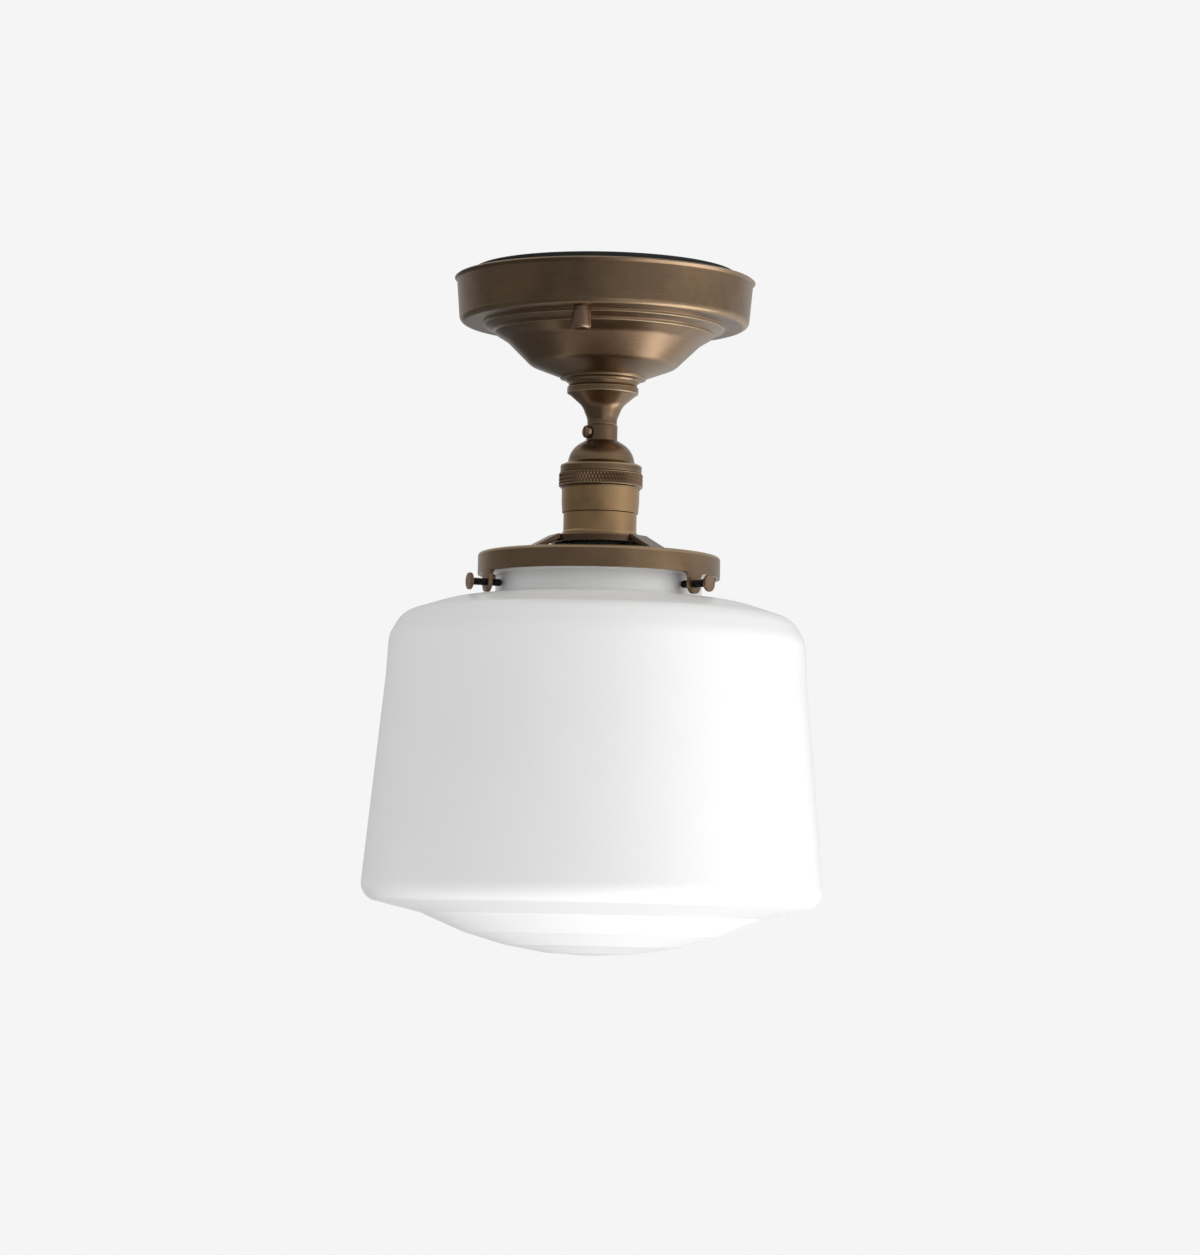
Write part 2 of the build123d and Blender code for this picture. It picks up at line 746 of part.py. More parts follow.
for name, shape in pieces.items():
    export_step(shape, f"parts/{name}.step")
    print(name, len(shape.solids()), round(shape.volume, 2), shape.is_valid)
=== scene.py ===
import bpy
import bmesh
import json
import math
from mathutils import Matrix, Vector


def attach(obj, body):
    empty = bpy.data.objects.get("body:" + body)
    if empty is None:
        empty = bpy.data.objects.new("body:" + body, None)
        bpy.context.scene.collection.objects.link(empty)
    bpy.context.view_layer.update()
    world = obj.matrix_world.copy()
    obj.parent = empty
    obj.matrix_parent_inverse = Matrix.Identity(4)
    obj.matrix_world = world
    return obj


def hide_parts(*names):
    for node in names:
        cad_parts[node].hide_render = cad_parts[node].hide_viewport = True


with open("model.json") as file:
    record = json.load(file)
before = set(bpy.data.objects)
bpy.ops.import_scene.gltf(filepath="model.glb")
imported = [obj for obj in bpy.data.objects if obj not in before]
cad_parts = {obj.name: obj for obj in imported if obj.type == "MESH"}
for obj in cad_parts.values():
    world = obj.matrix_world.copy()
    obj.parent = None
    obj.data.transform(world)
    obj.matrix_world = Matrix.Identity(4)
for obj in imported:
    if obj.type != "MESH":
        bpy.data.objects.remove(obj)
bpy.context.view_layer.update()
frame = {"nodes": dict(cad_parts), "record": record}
mm = 0.001
print("frame loaded,", len(frame["nodes"]), "nodes")


# small helpers

def addNode(tree, kind, place=(0, 0), **settings):
    node = tree.nodes.new(kind)
    node.location = place
    for key, value in settings.items():
        setattr(node, key, value)
    return node


def mathNode(tree, operation, a, b=None, c=None):
    node = addNode(tree, "ShaderNodeMath", operation=operation)
    for socket, value in zip(node.inputs, (a, b, c)):
        if isinstance(value, bpy.types.NodeSocket):
            tree.links.new(value, socket)
        elif value is not None:
            socket.default_value = value
    return node.outputs[0]


def roundedLine(points, radii, arcStep=7):
    # a line of corner points with an arc at each inner corner
    line = [Vector(points[0])]
    for before, corner, after, radius in zip(points, points[1:], points[2:], radii):
        before, corner, after = Vector(before), Vector(corner), Vector(after)
        back, ahead = (before - corner).normalized(), (after - corner).normalized()
        turn = math.pi - back.angle(ahead)
        reach = radius * math.tan(turn / 2)
        if turn < 0.01 or radius <= 0:
            line.append(corner)
            continue
        start, end = corner + back * reach, corner + ahead * reach
        middle = corner + (back + ahead).normalized() * (radius / math.cos(turn / 2))
        count = max(2, int(math.degrees(turn) / arcStep) + 1)
        a, b = start - middle, end - middle
        angle = math.atan2(a.x * b.y - a.y * b.x, a.dot(b))
        for index in range(count + 1):
            part = angle * index / count
            line.append(middle + Vector((a.x * math.cos(part) - a.y * math.sin(part), a.x * math.sin(part) + a.y * math.cos(part))))
    line.append(Vector(points[-1]))
    return line


def insideLine(points, radii, wall):
    # the same corners moved to the right by the wall
    steps = [(Vector(b) - Vector(a)).normalized() for a, b in zip(points, points[1:])]
    sides = [Vector((step.y, -step.x)) for step in steps]
    moved, movedRadii = [Vector(points[0]) + sides[0] * wall], []
    for corner, before, after, radius in zip(points[1:-1], sides, sides[1:], radii):
        moved.append(Vector(corner) + (before + after) * (wall / (1 + before.dot(after))))
        turn = before.x * after.y - before.y * after.x
        movedRadii.append(max(radius + math.copysign(wall, turn), 0.05))
    moved.append(Vector(points[-1]) + sides[-1] * wall)
    return moved, movedRadii


def sheetOutline(points, radii, wall):
    inner, innerRadii = insideLine(points, radii, wall)
    outside = roundedLine(points, radii)
    inside = roundedLine(inner, innerRadii)
    return outside + inside[::-1] + [outside[0]]


def cutLong(line, longest, corner=0.3):
    # no stretch longer than this, with a cut close to each corner that keeps its wear and painted highlight narrow
    cut = [line[0]]
    for a, b in zip(line, line[1:]):
        span = (b - a).length
        ends = [corner / span, 1 - corner / span] if span > 3 * corner else []
        count = max(1, math.ceil(span / longest))
        shares = sorted(set([index / count for index in range(1, count)] + ends))
        cut += [a + (b - a) * share for share in shares] + [b]
    return cut


# turned pieces: one tree spins a profile about the vertical axis

def makeTurnedTree():
    tree = bpy.data.node_groups.new("turnedPiece", "GeometryNodeTree")
    face = tree.interface
    face.new_socket("Profile", in_out="INPUT", socket_type="NodeSocketGeometry")
    segments = face.new_socket("Segments", in_out="INPUT", socket_type="NodeSocketInt")
    finish = face.new_socket("Finish", in_out="INPUT", socket_type="NodeSocketMaterial")
    face.new_socket("Piece", in_out="OUTPUT", socket_type="NodeSocketGeometry")
    link = tree.links.new
    source = addNode(tree, "NodeGroupInput", (-900, 0))
    size = addNode(tree, "GeometryNodeAttributeDomainSize", (-700, 200), component="MESH")
    link(source.outputs["Profile"], size.inputs[0])
    plusOne = mathNode(tree, "ADD", source.outputs["Segments"], 1.0)
    grid = addNode(tree, "GeometryNodeMeshGrid", (-450, 200))
    link(plusOne, grid.inputs["Vertices X"])
    link(size.outputs["Point Count"], grid.inputs["Vertices Y"])
    index = addNode(tree, "GeometryNodeInputIndex", (-900, -200)).outputs[0]
    onProfile = mathNode(tree, "FLOORED_MODULO", index, size.outputs["Point Count"])
    ringNumber = mathNode(tree, "FLOOR", mathNode(tree, "DIVIDE", index, size.outputs["Point Count"]))
    turn = mathNode(tree, "MULTIPLY", mathNode(tree, "DIVIDE", ringNumber, source.outputs["Segments"]), 2 * math.pi)
    place = addNode(tree, "GeometryNodeInputPosition")
    pick = addNode(tree, "GeometryNodeSampleIndex", data_type="FLOAT_VECTOR", domain="POINT")
    link(source.outputs["Profile"], pick.inputs["Geometry"])
    link(place.outputs[0], pick.inputs["Value"])
    link(onProfile, pick.inputs["Index"])
    split = addNode(tree, "ShaderNodeSeparateXYZ")
    link(pick.outputs[0], split.inputs[0])
    join = addNode(tree, "ShaderNodeCombineXYZ")
    link(mathNode(tree, "MULTIPLY", split.outputs[0], mathNode(tree, "COSINE", turn)), join.inputs[0])
    link(mathNode(tree, "MULTIPLY", split.outputs[0], mathNode(tree, "SINE", turn)), join.inputs[1])
    link(split.outputs[2], join.inputs[2])
    wearAndHighlight = addNode(tree, "GeometryNodeInputNamedAttribute", data_type="FLOAT")
    wearAndHighlight.inputs["Name"].default_value = "edgeWearAndHighlight"
    pickWearAndHighlight = addNode(tree, "GeometryNodeSampleIndex", data_type="FLOAT", domain="POINT")
    link(source.outputs["Profile"], pickWearAndHighlight.inputs["Geometry"])
    link(wearAndHighlight.outputs[0], pickWearAndHighlight.inputs["Value"])
    link(onProfile, pickWearAndHighlight.inputs["Index"])
    move = addNode(tree, "GeometryNodeSetPosition")
    link(grid.outputs["Mesh"], move.inputs["Geometry"])
    link(join.outputs[0], move.inputs["Position"])
    store = addNode(tree, "GeometryNodeStoreNamedAttribute", data_type="FLOAT", domain="POINT")
    store.inputs["Name"].default_value = "edgeWearAndHighlight"
    link(move.outputs[0], store.inputs["Geometry"])
    link(pickWearAndHighlight.outputs[0], store.inputs["Value"])
    merge = addNode(tree, "GeometryNodeMergeByDistance")
    merge.inputs["Distance"].default_value = 2e-6
    link(store.outputs[0], merge.inputs["Geometry"])
    smooth = addNode(tree, "GeometryNodeSetShadeSmooth")
    link(merge.outputs[0], smooth.inputs["Geometry"])
    realize = addNode(tree, "GeometryNodeRealizeInstances")
    link(smooth.outputs[0], realize.inputs["Geometry"])
    paint = addNode(tree, "GeometryNodeSetMaterial")
    link(realize.outputs[0], paint.inputs["Geometry"])
    link(source.outputs["Finish"], paint.inputs["Material"])
    result = addNode(tree, "NodeGroupOutput", (900, 0))
    link(paint.outputs[0], result.inputs[0])
    return tree, {"segments": segments.identifier, "finish": finish.identifier}


turnedTree, turnedInputs = makeTurnedTree()


def bakeNodes(holder, tree, values, name):
    # runs a tree on an object and leaves a plain mesh object in its place
    modifier = holder.modifiers.new("build", "NODES")
    modifier.node_group = tree
    for key, value in values.items():
        modifier[key] = value
    bpy.context.view_layer.update()
    evaluated = holder.evaluated_get(bpy.context.evaluated_depsgraph_get())
    mesh = bpy.data.meshes.new_from_object(evaluated)
    holder.modifiers.remove(modifier)
    bpy.data.objects.remove(holder)
    mesh.name = name
    return mesh


def newPiece(name, mesh):
    piece = bpy.data.objects.new(name, mesh)
    bpy.context.scene.collection.objects.link(piece)
    return piece


def faceOutwards(mesh, sharpAngle=40):
    # faces outwards, and corners sharper than the angle stay crisp
    work = bmesh.new()
    work.from_mesh(mesh)
    bmesh.ops.remove_doubles(work, verts=work.verts, dist=2e-6)
    bmesh.ops.dissolve_degenerate(work, edges=work.edges, dist=1e-7)
    if work.calc_volume(signed=True) < 0:
        bmesh.ops.reverse_faces(work, faces=work.faces)
    for edge in work.edges:
        edge.smooth = not (len(edge.link_faces) == 2 and math.degrees(edge.calc_face_angle(0)) > sharpAngle)
    for face in work.faces:
        face.smooth = True
    work.to_mesh(mesh)
    work.free()


def wearAndHighlightAlong(line):
    # 1 on outward corners, 0 on flats and hollows: where gold goes on, partly rubbed wear and partly painted highlight
    values = [0.0] * len(line)
    for index in range(1, len(line) - 1):
        a, b = line[index] - line[index - 1], line[index + 1] - line[index]
        if a.length < 1e-9 or b.length < 1e-9:
            continue
        turn = -(a.x * b.y - a.y * b.x) / (a.length * b.length)
        values[index] = max(0.0, min(1.0, turn / (0.5 * (a.length + b.length)) * 0.9))
    return values


def turned(name, outline, finish, segments=160, longest=6.0, sharpAngle=40):
    line = cutLong([Vector(point) for point in outline], longest)
    values = wearAndHighlightAlong(line)
    mesh = bpy.data.meshes.new(name + "Profile")
    mesh.from_pydata([(p.x * mm, 0, p.y * mm) for p in line], [(i, i + 1) for i in range(len(line) - 1)], [])
    attribute = mesh.attributes.new("edgeWearAndHighlight", "FLOAT", "POINT")
    attribute.data.foreach_set("value", values)
    holder = newPiece(name + "Profile", mesh)
    mesh = bakeNodes(holder, turnedTree, {turnedInputs["segments"]: segments, turnedInputs["finish"]: finish}, name)
    faceOutwards(mesh, sharpAngle)
    return newPiece(name, mesh)


def settle(piece, matrix):
    # the place goes into the mesh, the object stays at the origin
    piece.data.transform(matrix)
    piece.data.update()
    return piece


def joinPieces(name, parts):
    work = bmesh.new()
    finishes = []
    for part in parts:
        copy = part.data
        offset = len(finishes)
        finishes += list(copy.materials)
        before = len(work.faces)
        work.from_mesh(copy)
        work.faces.ensure_lookup_table()
        for face in work.faces[before:]:
            face.material_index += offset
    mesh = bpy.data.meshes.new(name)
    work.to_mesh(mesh)
    work.free()
    for finish in finishes:
        mesh.materials.append(finish)
    for part in parts:
        bpy.data.objects.remove(part)
    return newPiece(name, mesh)


def fit(piece, body, slotName, *nodes):
    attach(piece, body)
    if nodes:
        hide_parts(*nodes)
    return piece


def fromTree(name, tree, inputs, **values):
    # one piece from a tree that needs no starting mesh
    holder = newPiece(name + "Start", bpy.data.meshes.new(name + "Start"))
    return newPiece(name, bakeNodes(holder, tree, {inputs[key]: value for key, value in values.items()}, name))


def withModifier(piece, kind, **settings):
    # the modifier's result becomes the mesh itself
    modifier = piece.modifiers.new(kind, kind)
    for key, value in settings.items():
        setattr(modifier, key, value)
    bpy.context.view_layer.update()
    evaluated = piece.evaluated_get(bpy.context.evaluated_depsgraph_get())
    mesh = bpy.data.meshes.new_from_object(evaluated)
    piece.modifiers.remove(modifier)
    old = piece.data
    piece.data = mesh
    bpy.data.meshes.remove(old)
    mesh.name = piece.name
    return piece


def carve(piece, *tools, operation="DIFFERENCE"):
    for tool in tools:
        withModifier(piece, "BOOLEAN", object=tool, operation=operation, solver="EXACT")
        bpy.data.objects.remove(tool)
    return piece


def extrudedOutline(name, points, near, far, finish):
    # a flat outline in the plane across X, pushed along X
    work = bmesh.new()
    ends = [[work.verts.new((x * mm, p[0] * mm, p[1] * mm)) for p in points] for x in (near, far)]
    count = len(points)
    for index in range(count):
        after = (index + 1) % count
        work.faces.new((ends[0][index], ends[0][after], ends[1][after], ends[1][index]))
    work.faces.new(ends[0])
    work.faces.new(ends[1])
    bmesh.ops.recalc_face_normals(work, faces=work.faces)
    mesh = bpy.data.meshes.new(name)
    work.to_mesh(mesh)
    work.free()
    mesh.materials.append(finish)
    return newPiece(name, mesh)


def plainRod(name, radius, top, bottom, finish, segments=32):
    return turned(name, [(0, top), (radius, top), (radius, bottom), (0, bottom)], finish, segments=segments)


def softCopy(name, nodeName, body, bevel=0.0, sharpAngle=32):
    # a merged copy of a CAD node, smooth on its curves, with its corners eased
    mesh = frame["nodes"][nodeName].data.copy()
    mesh.name = name
    work = bmesh.new()
    work.from_mesh(mesh)
    bmesh.ops.remove_doubles(work, verts=work.verts, dist=2e-6)
    if bevel:
        bmesh.ops.dissolve_limit(work, angle_limit=math.radians(1.0), verts=work.verts, edges=work.edges)
    for edge in work.edges:
        edge.smooth = not (len(edge.link_faces) == 2 and math.degrees(edge.calc_face_angle(0)) > sharpAngle)
    for face in work.faces:
        face.smooth = True
    work.to_mesh(mesh)
    work.free()
    piece = newPiece(name, mesh)
    if bevel:
        withModifier(piece, "BEVEL", width=bevel * mm, segments=2, limit_method="ANGLE", angle_limit=math.radians(40), harden_normals=False)
        withModifier(piece, "WEIGHTED_NORMAL", keep_sharp=True)
    return fit(piece, body, slotOf[nodeName], nodeName)


# threads: a ridge wound round a core, standing on z = 0

def makeThreadTree():
    tree = bpy.data.node_groups.new("screwThread", "GeometryNodeTree")
    face = tree.interface
    ids = {}
    for key, label, kind in (
        ("radius", "Outer Radius", "NodeSocketFloat"), ("core", "Core Radius", "NodeSocketFloat"),
        ("pitch", "Pitch", "NodeSocketFloat"), ("turns", "Turns", "NodeSocketFloat"),
        ("steps", "Steps per Turn", "NodeSocketInt"), ("finish", "Finish", "NodeSocketMaterial"),
    ):
        ids[key] = face.new_socket(label, in_out="INPUT", socket_type=kind).identifier
    face.new_socket("Piece", in_out="OUTPUT", socket_type="NodeSocketGeometry")
    link = tree.links.new
    source = addNode(tree, "NodeGroupInput", (-900, 0))
    depth = mathNode(tree, "SUBTRACT", source.outputs["Outer Radius"], source.outputs["Core Radius"])
    ridgeSize = mathNode(tree, "MULTIPLY", depth, 1.0 / 1.5)
    path = mathNode(tree, "SUBTRACT", source.outputs["Outer Radius"], ridgeSize)
    length = mathNode(tree, "MULTIPLY", source.outputs["Pitch"], source.outputs["Turns"])
    spiral = addNode(tree, "GeometryNodeCurveSpiral", (-500, 100))
    link(source.outputs["Steps per Turn"], spiral.inputs["Resolution"])
    link(source.outputs["Turns"], spiral.inputs["Rotations"])
    link(path, spiral.inputs["Start Radius"])
    link(path, spiral.inputs["End Radius"])
    link(length, spiral.inputs["Height"])
    upright = addNode(tree, "GeometryNodeSetCurveNormal", mode="Z_UP")
    link(spiral.outputs[0], upright.inputs[0])
    ridge = addNode(tree, "GeometryNodeCurvePrimitiveCircle", (-500, -200), mode="RADIUS")
    ridge.inputs["Resolution"].default_value = 4
    link(ridgeSize, ridge.inputs["Radius"])
    wound = addNode(tree, "GeometryNodeCurveToMesh", (-200, 100))
    link(upright.outputs[0], wound.inputs["Curve"])
    link(ridge.outputs[0], wound.inputs["Profile Curve"])
    wound.inputs["Fill Caps"].default_value = True
    core = addNode(tree, "GeometryNodeMeshCylinder", (-200, -200))
    core.inputs["Vertices"].default_value = 32
    link(source.outputs["Core Radius"], core.inputs["Radius"])
    link(length, core.inputs["Depth"])
    lift = addNode(tree, "ShaderNodeCombineXYZ")
    link(mathNode(tree, "MULTIPLY", length, 0.5), lift.inputs[2])
    raised = addNode(tree, "GeometryNodeTransform")
    link(core.outputs["Mesh"], raised.inputs["Geometry"])
    link(lift.outputs[0], raised.inputs["Translation"])
    both = addNode(tree, "GeometryNodeJoinGeometry", (200, 0))
    link(wound.outputs[0], both.inputs[0])
    link(raised.outputs[0], both.inputs[0])
    realize = addNode(tree, "GeometryNodeRealizeInstances", (400, 0))
    link(both.outputs[0], realize.inputs["Geometry"])
    paint = addNode(tree, "GeometryNodeSetMaterial", (600, 0))
    link(realize.outputs[0], paint.inputs["Geometry"])
    link(source.outputs["Finish"], paint.inputs["Material"])
    result = addNode(tree, "NodeGroupOutput", (800, 0))
    link(paint.outputs[0], result.inputs[0])
    return tree, ids


threadTree, threadInputs = makeThreadTree()


def threaded(name, radius, depth, pitch, low, high, finish, steps=24):
    # sizes in millimetres, standing from low to high on z
    turns = (high - low) / pitch
    piece = fromTree(
        name, threadTree, threadInputs, radius=radius * mm, core=(radius - depth) * mm,
        pitch=pitch * mm, turns=turns, steps=steps, finish=finish,
    )
    faceOutwards(piece.data, 70)
    return settle(piece, Matrix.Translation((0, 0, low * mm)))


# knurls and ribs: small forms repeated in rows round a band

def makeRowsTree():
    tree = bpy.data.node_groups.new("knurlRows", "GeometryNodeTree")
    face = tree.interface
    ids = {}
    for key, label, kind in (
        ("around", "Around", "NodeSocketInt"), ("rows", "Rows", "NodeSocketInt"), ("radius", "Radius", "NodeSocketFloat"),
        ("low", "Low", "NodeSocketFloat"), ("high", "High", "NodeSocketFloat"), ("depth", "Depth", "NodeSocketFloat"),
        ("width", "Width", "NodeSocketFloat"), ("height", "Height", "NodeSocketFloat"), ("sides", "Sides", "NodeSocketInt"),
        ("crest", "Crest", "NodeSocketFloat"), ("finish", "Finish", "NodeSocketMaterial"),
    ):
        ids[key] = face.new_socket(label, in_out="INPUT", socket_type=kind).identifier
    face.new_socket("Piece", in_out="OUTPUT", socket_type="NodeSocketGeometry")
    link = tree.links.new
    source = addNode(tree, "NodeGroupInput", (-900, 0))
    line = addNode(tree, "GeometryNodeMeshLine", (-600, 200))
    link(mathNode(tree, "MULTIPLY", source.outputs["Around"], source.outputs["Rows"]), line.inputs["Count"])
    index = addNode(tree, "GeometryNodeInputIndex").outputs[0]
    column = mathNode(tree, "FLOORED_MODULO", index, source.outputs["Around"])
    row = mathNode(tree, "FLOOR", mathNode(tree, "DIVIDE", mathNode(tree, "ADD", index, 0.5), source.outputs["Around"]))
    shifted = mathNode(tree, "ADD", column, mathNode(tree, "MULTIPLY", row, 0.5))
    turn = mathNode(tree, "MULTIPLY", mathNode(tree, "DIVIDE", shifted, source.outputs["Around"]), 2 * math.pi)
    span = mathNode(tree, "SUBTRACT", source.outputs["High"], source.outputs["Low"])
    share = mathNode(tree, "DIVIDE", mathNode(tree, "ADD", row, 0.5), source.outputs["Rows"])
    height = mathNode(tree, "MULTIPLY_ADD", span, share, source.outputs["Low"])
    place = addNode(tree, "ShaderNodeCombineXYZ")
    link(mathNode(tree, "MULTIPLY", source.outputs["Radius"], mathNode(tree, "COSINE", turn)), place.inputs[0])
    link(mathNode(tree, "MULTIPLY", source.outputs["Radius"], mathNode(tree, "SINE", turn)), place.inputs[1])
    link(height, place.inputs[2])
    spread = addNode(tree, "GeometryNodeSetPosition", (-300, 200))
    link(line.outputs[0], spread.inputs["Geometry"])
    link(place.outputs[0], spread.inputs["Position"])
    form = addNode(tree, "GeometryNodeMeshCone", (-300, -200))
    link(source.outputs["Sides"], form.inputs["Vertices"])
    link(source.outputs["Crest"], form.inputs["Radius Top"])
    form.inputs["Radius Bottom"].default_value = 1.0
    form.inputs["Depth"].default_value = 1.0
    facing = addNode(tree, "ShaderNodeCombineXYZ")
    facing.inputs[0].default_value = math.pi / 2
    link(mathNode(tree, "ADD", turn, math.pi / 2), facing.inputs[2])
    euler = addNode(tree, "FunctionNodeEulerToRotation")
    link(facing.outputs[0], euler.inputs[0])
    scale = addNode(tree, "ShaderNodeCombineXYZ")
    link(source.outputs["Width"], scale.inputs[0])
    link(source.outputs["Height"], scale.inputs[1])
    link(source.outputs["Depth"], scale.inputs[2])
    spots = addNode(tree, "GeometryNodeInstanceOnPoints", (0, 0))
    link(spread.outputs[0], spots.inputs["Points"])
    link(form.outputs["Mesh"], spots.inputs["Instance"])
    link(euler.outputs[0], spots.inputs["Rotation"])
    link(scale.outputs[0], spots.inputs["Scale"])
    realize = addNode(tree, "GeometryNodeRealizeInstances", (300, 0))
    link(spots.outputs[0], realize.inputs["Geometry"])
    paint = addNode(tree, "GeometryNodeSetMaterial", (500, 0))
    link(realize.outputs[0], paint.inputs["Geometry"])
    link(source.outputs["Finish"], paint.inputs["Material"])
    result = addNode(tree, "NodeGroupOutput", (700, 0))
    link(paint.outputs[0], result.inputs[0])
    return tree, ids


rowsTree, rowsInputs = makeRowsTree()


def rowsOf(name, around, rows, radius, low, high, depth, width, height, finish, sides=4, crest=0.16):
    # radius is where the forms stand, in millimetres as every other size here
    return fromTree(
        name, rowsTree, rowsInputs, around=around, rows=rows, radius=radius * mm, low=low * mm, high=high * mm,
        depth=depth * mm, width=width * mm, height=height * mm, sides=sides, crest=crest, finish=finish,
    )


def outwardPlace(angle, height):
    # from standing on z to lying along the radius at an angle
    return Matrix.Rotation(math.radians(angle), 4, "Z") @ Matrix.Translation((0, 0, height * mm)) @ Matrix.Rotation(math.radians(90), 4, "Y")


# finishes

def objectPlace(tree):
    # position on the piece, split into radius, angle and height
    place = addNode(tree, "ShaderNodeTexCoord", (-1500, 0)).outputs["Object"]
    split = addNode(tree, "ShaderNodeSeparateXYZ", (-1300, 0))
    tree.links.new(place, split.inputs[0])
    x, y, z = split.outputs
    radius = mathNode(tree, "SQRT", mathNode(tree, "ADD", mathNode(tree, "MULTIPLY", x, x), mathNode(tree, "MULTIPLY", y, y)))
    angle = mathNode(tree, "ARCTAN2", y, x)
    return place, radius, angle, z


def noiseAt(tree, vector, scale, detail=3.0, roughness=0.55, distortion=0.0):
    noise = addNode(tree, "ShaderNodeTexNoise")
    noise.inputs["Scale"].default_value = scale
    noise.inputs["Detail"].default_value = detail
    noise.inputs["Roughness"].default_value = roughness
    noise.inputs["Distortion"].default_value = distortion
    tree.links.new(vector, noise.inputs["Vector"])
    return noise.outputs[0]


def ramp(tree, value, stops):
    node = addNode(tree, "ShaderNodeValToRGB")
    elements = node.color_ramp.elements
    while len(elements) < len(stops):
        elements.new(0.5)
    for element, (position, color) in zip(elements, stops):
        element.position = position
        element.color = (*color, 1) if isinstance(color, tuple) else (color, color, color, 1)
    tree.links.new(value, node.inputs[0])
    return node.outputs[0]


def mixColor(tree, factor, a, b):
    node = addNode(tree, "ShaderNodeMix", data_type="RGBA")
    for socket, value in ((node.inputs[0], factor), (node.inputs[6], a), (node.inputs[7], b)):
        if isinstance(value, bpy.types.NodeSocket):
            tree.links.new(value, socket)
        else:
            socket.default_value = (*value, 1) if isinstance(value, tuple) else value
    return node.outputs[2]


def newFinish(name):
    finish = bpy.data.materials.new(name)
    finish.use_nodes = True
    tree = finish.node_tree
    shader = tree.nodes["Principled BSDF"]
    return finish, tree, shader


def bumpFrom(tree, shader, height, strength, distance):
    bump = addNode(tree, "ShaderNodeBump")
    bump.inputs["Strength"].default_value = strength
    bump.inputs["Distance"].default_value = distance
    tree.links.new(height, bump.inputs["Height"])
    tree.links.new(bump.outputs[0], shader.inputs["Normal"])


agedBrassLook = {
    "dark": (0.165, 0.102, 0.060),
    "brown": (0.300, 0.195, 0.112),
    "gold": (0.62, 0.45, 0.27),
    "patinaScale": 24.0,
    "brushAcross": 3600.0,
    "brushAlong": 7.0,
    "roughness": (0.27, 0.40),
    "goldOnEdges": 0.95,
    "lacquer": 0.35,
    "bump": 0.05,
}


def brassFinish(name, look):
    # lathe-brushed brass: brown patina in soft clouds, fine strokes round the piece, gold on outward corners, partly
    # rubbed wear and partly painted highlight
    finish, tree, shader = newFinish(name)
    place, radius, angle, height = objectPlace(tree)
    brush = addNode(tree, "ShaderNodeCombineXYZ")
    for socket, value, factor in ((brush.inputs[0], angle, look["brushAlong"]), (brush.inputs[1], radius, look["brushAcross"]), (brush.inputs[2], height, look["brushAcross"])):
        tree.links.new(mathNode(tree, "MULTIPLY", value, factor), socket)
    strokes = noiseAt(tree, brush.outputs[0], 1.0, 4.0, 0.6)
    clouds = noiseAt(tree, place, look["patinaScale"], 3.0, 0.5, 0.3)
    spots = noiseAt(tree, place, look["patinaScale"] * 9, 3.0, 0.6)
    patina = mathNode(tree, "ADD", mathNode(tree, "MULTIPLY", clouds, 0.66), mathNode(tree, "MULTIPLY", spots, 0.12))
    patina = mathNode(tree, "ADD", patina, mathNode(tree, "MULTIPLY", strokes, 0.22))
    color = ramp(tree, patina, [(0.30, look["dark"]), (0.52, look["brown"]), (0.78, tuple(0.6 * b + 0.4 * g for b, g in zip(look["brown"], look["gold"])))])
    # painted highlight and real wear: every outward corner of the profile is pulled towards gold
    wearAndHighlight = addNode(tree, "ShaderNodeAttribute", attribute_name="edgeWearAndHighlight").outputs["Fac"]
    wornAndHighlit = mathNode(tree, "MULTIPLY", wearAndHighlight, mathNode(tree, "MULTIPLY", mathNode(tree, "ADD", clouds, 0.5), look["goldOnEdges"]))
    wornAndHighlit.node.use_clamp = True
    color = mixColor(tree, wornAndHighlit, color, look["gold"])
    tree.links.new(color, shader.inputs["Base Color"])
    low, high = look["roughness"]
    rough = mathNode(tree, "ADD", mathNode(tree, "MULTIPLY", strokes, high - low), low)
    tree.links.new(rough, shader.inputs["Roughness"])
    shader.inputs["Metallic"].default_value = 1.0
    shader.inputs["Coat Weight"].default_value = look["lacquer"]
    shader.inputs["Coat Roughness"].default_value = 0.22
    bumpFrom(tree, shader, strokes, look["bump"], 0.0002)
    return finish


def plainFinish(name, color, second, roughness, metallic=0.0, grain=900.0, bump=0.05, clouds=60.0, **sockets):
    # moulded, painted or plated surfaces: two close tones, fine grain, uneven gloss
    finish, tree, shader = newFinish(name)
    place = addNode(tree, "ShaderNodeTexCoord").outputs["Object"]
    broad = noiseAt(tree, place, clouds, 4.0)
    fine = noiseAt(tree, place, grain, 3.0)
    tone = mathNode(tree, "ADD", mathNode(tree, "MULTIPLY", broad, 0.7), mathNode(tree, "MULTIPLY", fine, 0.3))
    tree.links.new(ramp(tree, tone, [(0.35, color), (0.65, second)]), shader.inputs["Base Color"])
    rough = mathNode(tree, "ADD", mathNode(tree, "MULTIPLY", fine, 0.14), roughness - 0.07)
    tree.links.new(rough, shader.inputs["Roughness"])
    shader.inputs["Metallic"].default_value = metallic
    for key, value in sockets.items():
        shader.inputs[key.replace("_", " ")].default_value = value
    bumpFrom(tree, shader, fine, bump, 0.0004)
    return finish


opalLook = {
    "milk": (0.80, 0.80, 0.795),
    "thin": (0.83, 0.835, 0.84),
    "roughness": 0.20,
    "wave": 0.02,
}


